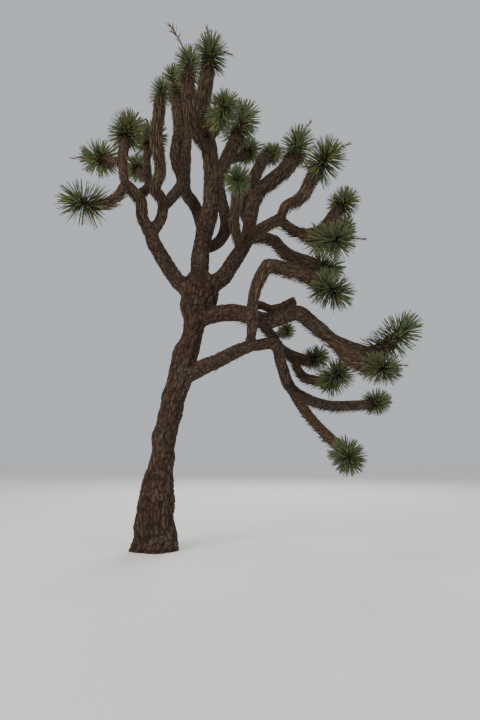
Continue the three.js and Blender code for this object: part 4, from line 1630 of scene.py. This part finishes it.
class LeafTree:
    """A Geometry Nodes tree with named inputs that stands leaves on a plant.

    Attributes:
        INPUTS: The name and the kind of each input that every such tree has.
        CHECKED_AT: Where a leaf is held against the wood, as shares of its length.
        LENGTH, ROLL, TURN, LEAN, STRAY, HELD: Which of a leaf's random numbers decides what.
        FORM_SEED: The seed of the draw among the leaf shapes.
        LAST_FORM: The highest number drawn there, which deals out two or three shapes evenly.
    """

    INPUTS = {
        "Blades": "Collection",
        "Wood": "Object",
        "Seed": "Int",
        **dict.fromkeys(("Clearance", "Shortest", "Longest", "Roll"), "Float"),
        **dict.fromkeys(SKIN_INPUTS, "Material"),
    }
    CHECKED_AT = (0.5, 0.95)
    LENGTH, ROLL, TURN, LEAN, STRAY, HELD = 1, 2, 3, 4, 5, 8
    FORM_SEED = 77
    LAST_FORM = 5

    def __init__(self, name: str) -> None:
        """Makes an empty tree.

        Args:
            name: Its name.
        """
        self.tree = bpy.data.node_groups.new(name, "GeometryNodeTree")
        self.add = partial(add_node, self.tree)
        face = self.tree.interface
        for way in ("INPUT", "OUTPUT"):
            face.new_socket("Geometry", in_out=way, socket_type="NodeSocketGeometry")
        self.keys = {}
        for key, kind in self.INPUTS.items():
            made = face.new_socket(key, in_out="INPUT", socket_type=f"NodeSocket{kind}")
            self.keys[key] = made.identifier
        self.start = self.add(Kind.INPUT)

    def given(self, key: str) -> NodeSocket:
        """The socket that an input's value comes from."""
        return self.start.outputs[key]

    def chance(self, low: float, high: float, number: int) -> Node:
        """A random number between two bounds for each leaf, from the tree's seed."""
        seed = self.add(Kind.ADD, self.given("Seed"), number)
        return self.add(Kind.CHANCE, Min=low, Max=high, Seed=seed)

    def drawn_length(self) -> Node:
        """A random length between the shortest and the longest, for each leaf."""
        share = self.chance(0, 1, self.LENGTH)
        return self.add(Kind.MIX, Factor=share, A=self.given("Shortest"), B=self.given("Longest"))

    def turned(self, rotation: Node, axis: str, degrees: Node) -> Node:
        """Turns each leaf round one of its own axes.

        Args:
            rotation: How it is turned before.
            axis: The axis, X, Y or Z.
            degrees: How far it is turned on.

        Returns:
            How it is turned after.
        """
        euler = self.add(Kind.VECTOR, **{axis: self.add(Kind.RADIANS, degrees)})
        return self.add(Kind.ROTATED, Rotation=rotation, Rotate_By=euler)

    def clear_of_wood(self, base: Node, heading: Node, length: Node) -> Node:
        """Tells which leaves have their middle and their tip outside the wood.

        Args:
            base: Where each leaf starts.
            heading: Which way it points.
            length: How long it is.

        Returns:
            A yes or no for each leaf.
        """
        add = self.add
        wood = add(Kind.OBJECT, Object=self.given("Wood")).outputs["Geometry"]
        here, outward = add(Kind.POSITION), add(Kind.NORMAL)
        gaps = []
        for share in self.CHECKED_AT:
            step = add(Kind.SCALED, heading, Scale=add(Kind.MULTIPLY, length, share))
            place = add(Kind.VECTOR_SUM, base, step)
            near = add(Kind.NEAREST, Mesh=wood, Value=here, Sample_Position=place)
            square = add(Kind.NEAREST, Mesh=wood, Value=outward, Sample_Position=place)
            gaps.append(add(Kind.DOT, add(Kind.VECTOR_GAP, place, near), square))
        return add(Kind.MORE, A=add(Kind.MINIMUM, *gaps), B=self.given("Clearance"))

    def finish(self, points: Node, kept: Node, rotation: Node, length: Node) -> None:
        """Puts the leaves on their points, makes them plain mesh and gives them their skins.

        Args:
            points: The points.
            kept: Which of them get a leaf.
            rotation: How each leaf is turned, before its own random roll.
            length: How long it is.
        """
        add = self.add
        rolls = add(Kind.MULTIPLY, self.chance(-1, 1, self.ROLL), self.given("Roll"))
        rolled = self.turned(rotation, "Z", rolls)
        tint = add(Kind.DEAL, Min=0, Max=2, Seed=self.given("Seed"))
        marked = add(Kind.STORE_WHOLE, Geometry=points, Name="tint", Value=tint)
        split = {"Separate_Children": True, "Reset_Children": True}
        blades = add(Kind.COLLECTION, Collection=self.given("Blades"), **split)
        form = add(Kind.DEAL, Min=0, Max=self.LAST_FORM, Seed=self.FORM_SEED)
        shape = {"Instance": blades, "Pick_Instance": True, "Instance_Index": form}
        placing = {"Selection": kept, "Rotation": rolled, "Scale": length}
        leaves = add(Kind.INSTANCES, Points=marked, **shape, **placing)
        latest = add(Kind.REALIZED, Geometry=leaves)
        tints = add(Kind.OWN_WHOLE, Name="tint")
        chosen = [add(Kind.SAME, A=tints, B=number) for number in range(3)]
        chosen.append(add(Kind.OWN_YES_NO, Name="spine"))
        for key, which in zip(SKIN_INPUTS, chosen):
            skin = self.given(key)
            latest = add(Kind.SET_MATERIAL, Geometry=latest, Selection=which, Material=skin)
        add(Kind.OUTPUT, Geometry=latest)

    def run(self, name: str, mesh: Mesh, values: dict[str, object]) -> Object:
        """Runs the tree on a mesh.

        Args:
            name: The name of the new piece.
            mesh: The paths or the surface that the leaves stand on.
            values: The value of each input.

        Returns:
            The piece, as plain mesh.
        """
        piece = shown(name, mesh)
        modifier = piece.modifiers.new("leaves", "NODES")
        modifier.node_group = self.tree
        for key, value in values.items():
            modifier[self.keys[key]] = value
        made = applied(piece, modifier)
        made.name = name
        for key in ("tint", "spine"):
            if key in made.attributes:
                made.attributes.remove(made.attributes[key])
        declare(piece)
        return piece


class SprayTree(LeafTree):
    """Stands leaves round paths in the spiral that a growing tip leaves them in.

    Each leaf is set back from the path's end by a share of the path's own "leafy" length, and
    the older it is the further it leans away from the tip. Its tip is as far from the path as
    a share of the path's "reach", and the path's "full" share of its leaves is kept.
    """

    GOLDEN_TURN = 137.508
    TURN_STRAY = 11
    INPUTS = {
        **LeafTree.INPUTS,
        "Count": "Int",
        **dict.fromkeys(("From", "To", "Setting", "First Tilt", "Last Tilt"), "Float"),
        **dict.fromkeys(("Leaning", "Wobble"), "Float"),
    }

    def __init__(self) -> None:
        """Builds the tree."""
        super().__init__("spray_on_paths")
        add = self.add
        curves = add(Kind.CURVES, Mesh=self.given("Geometry"))
        paths = add(Kind.CURVE_COUNT, Geometry=curves).outputs["Spline Count"]
        count = self.given("Count")
        points = add(Kind.POINTS, Count=add(Kind.MULTIPLY, paths, count))
        index = add(Kind.INDEX)
        share = add(Kind.DIVIDE, index, count)
        path = add(Kind.FLOOR, share)
        age = add(Kind.FRACTION, share)
        own = {key: add(Kind.OWN_NUMBER, Name=key) for key in ("reach", "leafy", "full")}
        own["whole"] = add(Kind.CURVE_LENGTH).outputs["Length"]
        of_path = {
            key: add(Kind.OF_CURVE, Geometry=curves, Value=value, Index=path)
            for key, value in own.items()
        }
        down = add(Kind.MULTIPLY, self._between("From", "To", "Setting", age), of_path["leafy"])
        mark = add(Kind.SUBTRACT, of_path["whole"], down)
        place = {"Length": mark, "Curve_Index": path}
        spot = add(Kind.ON_CURVE, Curves=curves, Value=add(Kind.OWN_NUMBER, Name="girth"), **place)
        girth = socket(spot.outputs, "Value")
        along = add(Kind.ALONG, Vector=spot.outputs["Tangent"])
        stray = self.chance(-self.TURN_STRAY, self.TURN_STRAY, self.TURN)
        turns = add(Kind.MULTIPLY_ADD, index, self.GOLDEN_TURN, stray)
        facing = self.turned(along, "Z", turns)
        outward = add(Kind.ROTATED_VECTOR, Vector=(0, -1, 0), Rotation=facing)
        foot = add(Kind.SCALED, outward, Scale=girth)
        base = add(Kind.VECTOR_SUM, spot.outputs["Position"], foot)
        tilt = self._between("First Tilt", "Last Tilt", "Leaning", age)
        lean = self.chance(-1, 1, self.LEAN)
        leant = self.turned(facing, "X", add(Kind.MULTIPLY_ADD, lean, self.given("Wobble"), tilt))
        heading = add(Kind.ROTATED_VECTOR, Vector=(0, 0, 1), Rotation=leant)
        tip = add(Kind.MULTIPLY, self.drawn_length(), of_path["reach"])
        length = add(Kind.SUBTRACT, tip, girth)
        held = add(Kind.LESS, A=self.chance(0, 1, self.HELD), B=of_path["full"])
        kept = add(Kind.BOTH, held, self.clear_of_wood(base, heading, length))
        self.finish(add(Kind.MOVED, Geometry=points, Position=base), kept, leant, length)

    def _between(self, low: str, high: str, bend: str, age: Node) -> Node:
        """Runs from one input to another with a leaf's age, bent by the power of a third."""
        bent = self.add(Kind.POWER, age, self.given(bend))
        return self.add(Kind.MIX, Factor=bent, A=self.given(low), B=self.given(high))


class ThatchTree(LeafTree):
    """Lays dead leaves on bark, hanging back along the limb, where it is still covered."""

    INPUTS = {**LeafTree.INPUTS, **dict.fromkeys(("Density", "Lift", "Mess"), "Float")}

    def __init__(self) -> None:
        """Builds the tree."""
        super().__init__("thatch_on_bark")
        add = self.add
        cover = add(Kind.OWN_NUMBER, Name="cover")
        outward = add(Kind.OWN_VECTOR, Name="outward")
        heading = add(Kind.OWN_VECTOR, Name="hang")
        density = add(Kind.MULTIPLY, cover, self.given("Density"))
        bark = {"Mesh": self.given("Geometry"), "Seed": self.given("Seed")}
        points = add(Kind.SCATTER, Density=density, **bark)
        normal = points.outputs["Normal"]
        marked = add(Kind.STORE_VECTOR, Geometry=points, Name="outward", Value=normal)
        stray = add(Kind.VECTOR, *(self.chance(-1, 1, self.STRAY + k) for k in range(3)))
        for way, size in ((outward, "Lift"), (stray, "Mess")):
            heading = add(Kind.VECTOR_SUM, heading, add(Kind.SCALED, way, Scale=self.given(size)))
        heading = add(Kind.UNIT, heading)
        along = add(Kind.ALONG, Vector=heading)
        faced = add(Kind.FACING, Rotation=along, Vector=outward)
        length = self.drawn_length()
        kept = self.clear_of_wood(add(Kind.POSITION), heading, length)
        self.finish(marked, kept, faced, length)


@dataclass(frozen=True)
class Spread:
    """How one kind of leaves stands on its paths, as the values of a spray tree's inputs.

    Attributes:
        count: The number of leaves on a path.
        back: How far from the path's end the youngest and the oldest stand, as shares.
        setting: The power that their age is raised to for that.
        tilt: How far the youngest and the oldest lean away from the tip, in degrees.
        leaning: The power that their age is raised to for that.
        wobble: How far a leaf leans more or less than its neighbours, in degrees.
        lengths: How far the shortest and the longest reach from the path, as shares.
        roll: How far a leaf turns round its own line, in degrees.
        clearance: How far a leaf's middle and tip stay off the bark, in metres.
    """

    count: int
    back: tuple[float, float]
    setting: float
    tilt: tuple[float, float]
    leaning: float
    wobble: float
    lengths: tuple[float, float]
    roll: float
    clearance: float = 9 * MM

    def values(self) -> dict[str, object]:
        """Puts the values under the names of the tree's inputs.

        Returns:
            The values by name.
        """
        pairs = {("From", "To"): self.back, ("First Tilt", "Last Tilt"): self.tilt}
        pairs[("Shortest", "Longest")] = self.lengths
        values = {key: value for keys, both in pairs.items() for key, value in zip(keys, both)}
        for key in ("Count", "Setting", "Leaning", "Wobble", "Roll", "Clearance"):
            values[key] = getattr(self, key.lower())
        return values


class Kit:
    """A set of leaf shapes and skins, as the inputs of a leaf tree."""

    def __init__(
        self,
        name: str,
        forms: tuple[BladeForm, ...],
        skins: tuple[FibreSkin, ...],
        wood: Object,
        seed: int,
    ) -> None:
        """Makes the shapes and the skins.

        Args:
            name: The name of the set.
            forms: The shapes.
            skins: The three tints of the leaves and the skin of their tips.
            wood: The bark that the leaves keep clear of.
            seed: Which random numbers they get.
        """
        self.bundle = bpy.data.collections.new(name)
        for form in forms:
            form.build(self.bundle)
        self.inputs = {"Blades": self.bundle, "Wood": wood, "Seed": seed}
        for key, skin in zip(SKIN_INPUTS, skins):
            self.inputs[key] = skin.material()

    def drop(self) -> None:
        """Takes the loose shapes out of the file."""
        for blade in list(self.bundle.objects):
            bpy.data.objects.remove(blade)


@dataclass
class Foliage:
    """All the leaves of the tree: live rosettes, their dead skirts and the thatch below.

    Attributes:
        skeleton: The middle lines that the rosettes end.
        wood: The whole skin, which every leaf keeps clear of.
        live: How the live leaves of a rosette stand.
        skirt: How the dead leaves below them hang.
        girth: How far from a stem's middle its leaves start, as a share of its radius.
        thatch_density: The dead leaves on a square metre of covered bark.
        thatch_lengths: The lengths of the shortest and the longest of them, in metres.
        thatch_lift: How far they stand off the bark, as a share of their length.
        thatch_mess: How far they stray to any side, as a share of their length.
        thatch_roll: How far they turn round their own line, in degrees.
        thatch_clearance: How far their middle and tip stay off the bark, in metres.
    """

    LIVE_SEED = 11
    DEAD_SEED = 29

    skeleton: Skeleton
    wood: Object
    live: Spread = Spread(270, (0, 1), 1.6, (4, 126), 0.56, 9, (0.88, 1.06), 20)
    skirt: Spread = Spread(90, (0.75, 1.55), 1, (122, 166), 0.6, 10, (0.52, 0.8), 90)
    girth: float = 0.85
    thatch_density: float = 800
    thatch_lengths: tuple[float, float] = (9 * CM, 15 * CM)
    thatch_lift: float = 0.08
    thatch_mess: float = 0.12
    thatch_roll: float = 50.0
    thatch_clearance: float = 1 * MM

    def build(self, spray: SprayTree, bark: dict[Region, Object]) -> None:
        """Stands every kind of leaf on every part of the tree.

        Args:
            spray: The tree that stands leaves on paths.
            bark: The pieces of bark that the thatch lies on.
        """
        skins = (*LIVE_SKINS, LEAF_SPINE)
        live = Kit("live_blades", LIVE_BLADES, skins, self.wood, self.LIVE_SEED)
        skins = (*DEAD_SKINS, DEAD_SKINS[-1])
        dead = Kit("dead_blades", DEAD_BLADES, skins, self.wood, self.DEAD_SEED)
        thatch = ThatchTree()
        lying = {
            **dead.inputs,
            "Clearance": self.thatch_clearance,
            "Density": self.thatch_density,
            "Lift": self.thatch_lift,
            "Mess": self.thatch_mess,
            "Roll": self.thatch_roll,
            **dict(zip(("Shortest", "Longest"), self.thatch_lengths)),
        }
        for region in (Region.LEFT, Region.CROWN, Region.RIGHT, Region.LOW):
            rosettes = [growth for growth in ROSETTES if growth.region is region]
            values = {**live.inputs, **self.live.values()}
            piece = spray.run(f"live_leaves_{region.value}", self._paths(rosettes), values)
            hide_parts(*[growth.name for growth in rosettes])
            values = {**dead.inputs, **self.skirt.values()}
            spray.run(f"dead_skirt_{region.value}", self._paths(rosettes), values)
            thatch.run(f"dead_thatch_{region.value}", bark[region].data.copy(), lying)
        live.drop()
        dead.drop()

    def _paths(self, rosettes: list[Growth]) -> Mesh:
        """Draws each rosette's stem as a chain of edges.

        Args:
            rosettes: The rosettes.

        Returns:
            A mesh of edges with the values that a spray tree reads on its points.
        """
        lines = []
        for growth in rosettes:
            axis = next(line for line in self.skeleton.axes if line.name == growth.name)
            own = {
                "reach": growth.reach * CM,
                "leafy": growth.leafy * growth.reach * CM,
                "full": growth.full,
                "girth": axis.radius * self.girth,
            }
            lines.append((axis.points, own))
        return path_mesh("rosette_paths", lines)


def path_mesh(name: str, lines: list[tuple[Array, dict[str, object]]]) -> Mesh:
    """Draws lines as chains of edges.

    Args:
        name: The mesh's name.
        lines: The points of each line, and its values by name.

    Returns:
        The mesh, with the values on its points.
    """
    points = np.vstack([line for line, _ in lines])
    starts = np.cumsum([0] + [len(line) for line, _ in lines])
    edges = [(k, k + 1) for k in range(len(points) - 1) if k + 1 not in starts]
    mesh = bpy.data.meshes.new(name)
    mesh.from_pydata(points.tolist(), edges, [])
    for key in lines[0][1]:
        parts = [np.broadcast_to(values[key], len(line)) for line, values in lines]
        write_values(mesh, key, np.concatenate(parts).astype(float))
    return mesh


@dataclass
class FlowerStalks:
    """Last year's flower stalks, which stay on the rosettes dry and bare.

    Attributes:
        skeleton: The middle lines that the rosettes end.
        foot_radius: The radius of a stalk where it leaves the rosette, in metres.
        tip_radius: The radius at its tip, in metres.
        bend: How far the middle of a stalk bows up from the straight, as a share of its length.
        bract_girth: How far from its middle the bracts start, as a share of its radius.
        knot_depth: How much thicker and thinner its knots make it, as a share.
        knot_waves: The two waves that the knots come from, in radians along a whole stalk.
        blunt: How far out its last ring is and how wide, in radii of the tip.
        bracts: How the dry bracts stand on each.
    """

    SIDES = 9
    BRACT_SEED = 57
    STEP = 2 * CM

    skeleton: Skeleton
    foot_radius: float = 15 * MM
    tip_radius: float = 6 * MM
    bend: float = 0.045
    bract_girth: float = 0.7
    knot_depth: float = 0.12
    knot_waves: tuple[float, float] = (31, 17)
    blunt: tuple[float, float] = (0.8, 0.45)
    bracts: Spread = Spread(17, (0, 0.55), 1, (24, 66), 0.6, 12, (0.15, 0.23), 30)

    def build(self, spray: SprayTree, wood: Object) -> None:
        """Makes the stalks as one piece and their bracts as another.

        Args:
            spray: The tree that stands the bracts on them.
            wood: The skin that the bracts keep clear of.
        """
        tubes, lines = [], []
        for growth in ROSETTES:
            for stretch in growth.stalks:
                line, radius = self._line(growth, stretch)
                tubes.append(self._tube(line, radius))
                length = stretch[0] * CM
                own = {"reach": length, "leafy": length, "full": 1}
                lines.append((line, {**own, "girth": self.bract_girth * radius}))
        stalks = shown("flower_stalks", plain_mesh("flower_stalks", *joined(tubes)))
        stalks.data.shade_smooth()
        stalks.data.materials.append(DRY_STALK.material())
        declare(stalks)
        skins = (DRY_STALK, DRY_STALK, DEAD_SKINS[-1], DRY_STALK)
        kit = Kit("bracts", BRACTS, skins, wood, self.BRACT_SEED)
        values = {**kit.inputs, **self.bracts.values()}
        spray.run("stalk_bracts", path_mesh("stalk_paths", lines), values)
        kit.drop()

    def _line(self, growth: Growth, stretch: Stretch) -> tuple[Array, Array]:
        """Draws one stalk, which bows up from the straight and swells at its knots.

        Args:
            growth: The rosette that it stands on.
            stretch: Its length, bearing and climb.

        Returns:
            Its middle line and its radii.
        """
        curve = self.skeleton.curves[growth.name]
        length, bearing, climb = stretch
        foot = curve.points[-1]
        head = foot + direction(bearing, climb) * length * CM
        lift = np.array([0.0, 0.0, self.bend * length * CM])
        way = GrowthCurve(np.array([foot, (foot + head) / 2 + lift, head]))
        along = np.linspace(0, way.length, round(way.length / self.STEP))
        line = way.at(along)
        share = along / way.length
        short, long = self.knot_waves
        knots = 1 + self.knot_depth * np.sin(share * short) * np.sin(share * long + 1)
        radius = (self.foot_radius + share * (self.tip_radius - self.foot_radius)) * knots
        return line, radius

    def _tube(self, line: Array, radius: Array) -> tuple[Array, Array]:
        """Skins one stalk, with a blunt tip.

        Args:
            line: Its middle line.
            radius: Its radii.

        Returns:
            Its points and triangles.
        """
        ahead = unit(np.gradient(line, axis=0))
        side = carried_side(ahead)
        over = np.cross(ahead, side)
        turn = np.linspace(0, 2 * math.pi, self.SIDES, endpoint=False)
        around = round_about(turn[None, :], side, over)
        rings = line[:, None, :] + radius[:, None, None] * around
        out, wide = self.blunt
        blunt = line[-1] + ahead[-1] * radius[-1] * out + wide * radius[-1] * around[-1]
        return closed_tube(np.concatenate([rings, blunt[None]]))


@dataclass
class BrokenEnd:
    """The splintered wood where a limb broke off.

    Attributes:
        skeleton: The middle lines, of which the broken ones get splinters.
        splinters: The number of splinters on an end.
        longest: How far the longest stands out of the break, in metres.
        outmost: How far out the last one stands, as a share of the limb's radius.
        sunk: How deep in the wood each starts, in metres.
        rows: Where its sections are, as shares of its height.
        shrink: Its thickness at the root and at these, as shares of the full thickness.
        thick_mm: The radius of the thinnest, and how much more the thickest has.
    """

    SIDES = 5
    NOISES = (91, 92, 93)

    skeleton: Skeleton
    splinters: int = 60
    longest: float = 1.6 * CM
    outmost: float = 0.86
    sunk: float = 2 * CM
    rows: tuple[float, ...] = (0.3, 0.75, 1)
    shrink: tuple[float, ...] = (1.0, 0.9, 0.55, 0.12)
    thick_mm: tuple[float, float] = (6, 5)

    def build(self) -> None:
        """Makes one piece of all the splinters."""
        parts = []
        for axis in self.skeleton.axes:
            if axis.broken:
                parts += [self._splinter(axis, number) for number in range(self.splinters)]
        piece = shown("broken_wood", plain_mesh("broken_wood", *joined(parts)))
        piece.data.materials.append(BROKEN_WOOD.material())
        declare(piece)

    def _splinter(self, axis: Axis, number: int) -> tuple[Array, Array]:
        """One splinter, from inside the wood to its ragged tip.

        Args:
            axis: The broken limb.
            number: The splinter's number, from the middle of the break outwards.

        Returns:
            Its points and triangles.
        """
        cell = np.array([[number, 3, 7]])
        length, lean, girth = (float(chance(cell, salt)[0]) for salt in self.NOISES)
        turn = math.radians(SprayTree.GOLDEN_TURN) * number
        away = self.outmost * axis.radius[-1] * math.sqrt((number + 0.5) / self.splinters)
        outward = axis.side[-1] * math.cos(turn) + axis.over[-1] * math.sin(turn)
        ahead = axis.ahead[-1]
        root = axis.points[-1] + outward * away
        tall = self.longest * (0.25 + 0.75 * length**2)
        heights = [-self.sunk] + [row * tall for row in self.rows]
        thinnest, more = self.thick_mm
        radii = (thinnest + more * girth) * MM * np.array(self.shrink)
        lean_way = unit(outward + axis.over[-1] * (lean - 0.5)) * 0.18 * (lean - 0.3)
        swing = np.linspace(0, 2 * math.pi, self.SIDES, endpoint=False) + 6 * lean
        rings = []
        for height, radius in zip(heights, radii):
            centre = root + ahead * height + lean_way * max(height, 0)
            rings.append(centre + radius * round_about(swing, axis.side[-1], axis.over[-1]))
        return closed_tube(np.array(rings))


@dataclass
class Studio:
    """The plain floor, the soft lights and the camera, in metres, mm and degrees.

    Attributes:
        stand: Where the camera stands.
        lights: The name, place, size, power in watts and colour of each light.
    """

    floor_size: float = 60
    stand: tuple[float, float, float] = (1.183106, -8.527273, 1.5)
    up_tilt: float = 7.594643
    lens: float = 30
    film: float = 36
    lights: tuple[tuple[str, tuple[float, float, float], float, float, str], ...] = (
        ("key_light", (-7, -9, 11), 7, 1150, "#fff1df"),
        ("fill_light", (10, -7, 6), 8, 380, "#e6eefc"),
        ("back_light", (3, 11, 10), 7, 900, "#ffffff"),
    )

    def build(self) -> None:
        """Lays the floor, hangs the lights and puts the camera up."""
        self._lay_floor()
        self._fill_world()
        for light in self.lights:
            self._light(*light)
        camera = bpy.data.cameras.new("camera")
        camera.lens = self.lens
        camera.sensor_fit = "AUTO"
        camera.sensor_width = self.film
        holder = shown("camera", camera)
        holder.location = self.stand
        holder.rotation_euler = (math.radians(90 + self.up_tilt), 0, 0)
        bpy.context.scene.camera = holder

    def _lay_floor(self) -> None:
        """Lays one wide pale sheet of matt board at ground level, with a faint mottle."""
        half = self.floor_size / 2
        corners = np.array([(-half, -half, 0), (half, -half, 0), (half, half, 0), (-half, half, 0)])
        floor = shown("floor", plain_mesh("floor", corners, np.array([(0, 1, 2), (0, 2, 3)])))
        material, add = new_material("pale_board")
        place = add(Kind.COORDINATES).outputs["Object"]
        mottle = add(Kind.NOISE, Vector=place, Scale=0.6, Detail=3)
        colour = add(Kind.MIX_COLOURS, Factor=mottle, A=linear("#f6f4f1"), B=linear("#fbf9f6"))
        shader = add(Kind.SURFACE, Base_Color=colour, Roughness=0.9, Specular_IOR_Level=0.2)
        add(Kind.MATERIAL_OUTPUT, Surface=shader)
        floor.data.materials.append(material)

    @staticmethod
    def _fill_world() -> None:
        """Surrounds the scene with even pale light."""
        world = bpy.data.worlds.new("studio")
        world.use_nodes = True
        world.node_tree.nodes.clear()
        add = partial(add_node, world.node_tree)
        light = add(Kind.BACKGROUND, Color=linear("#d5dae0"), Strength=0.8)
        add(Kind.WORLD_OUTPUT, Surface=light)
        bpy.context.scene.world = world

    @staticmethod
    def _light(
        name: str, place: tuple[float, float, float], size: float, watts: float, colour: str
    ) -> None:
        """Hangs one soft square light that faces the middle of the tree.

        Args:
            name: Its name.
            place: Where it hangs.
            size: The length of its side, in metres.
            watts: Its power.
            colour: Its colour, in hex.
        """
        light = bpy.data.lights.new(name, "AREA")
        light.size = size
        light.energy = watts
        light.color = linear(colour)[:3]
        holder = shown(name, light)
        holder.location = place
        middle = (CAD_BOX[0] + CAD_BOX[1]) / 2
        holder.rotation_euler = (middle - holder.location).to_track_quat("-Z", "Y").to_euler()


def main() -> None:
    """Builds the tree from the wood outwards, then the studio round it."""
    logging.basicConfig(level=logging.INFO, format="%(message)s")
    skeleton = Skeleton()
    skeleton.build()
    LOG.info("skeleton: %d lines", len(skeleton.axes))
    skin = BarkSkin(skeleton)
    pieces = skin.build()
    whole = skin.whole()
    spray = SprayTree()
    Foliage(skeleton, whole).build(spray, pieces)
    FlowerStalks(skeleton).build(spray, whole)
    BrokenEnd(skeleton).build()
    bpy.data.objects.remove(whole)
    skin.dress(pieces)
    Studio().build()


if __name__ == "__main__":
    main()
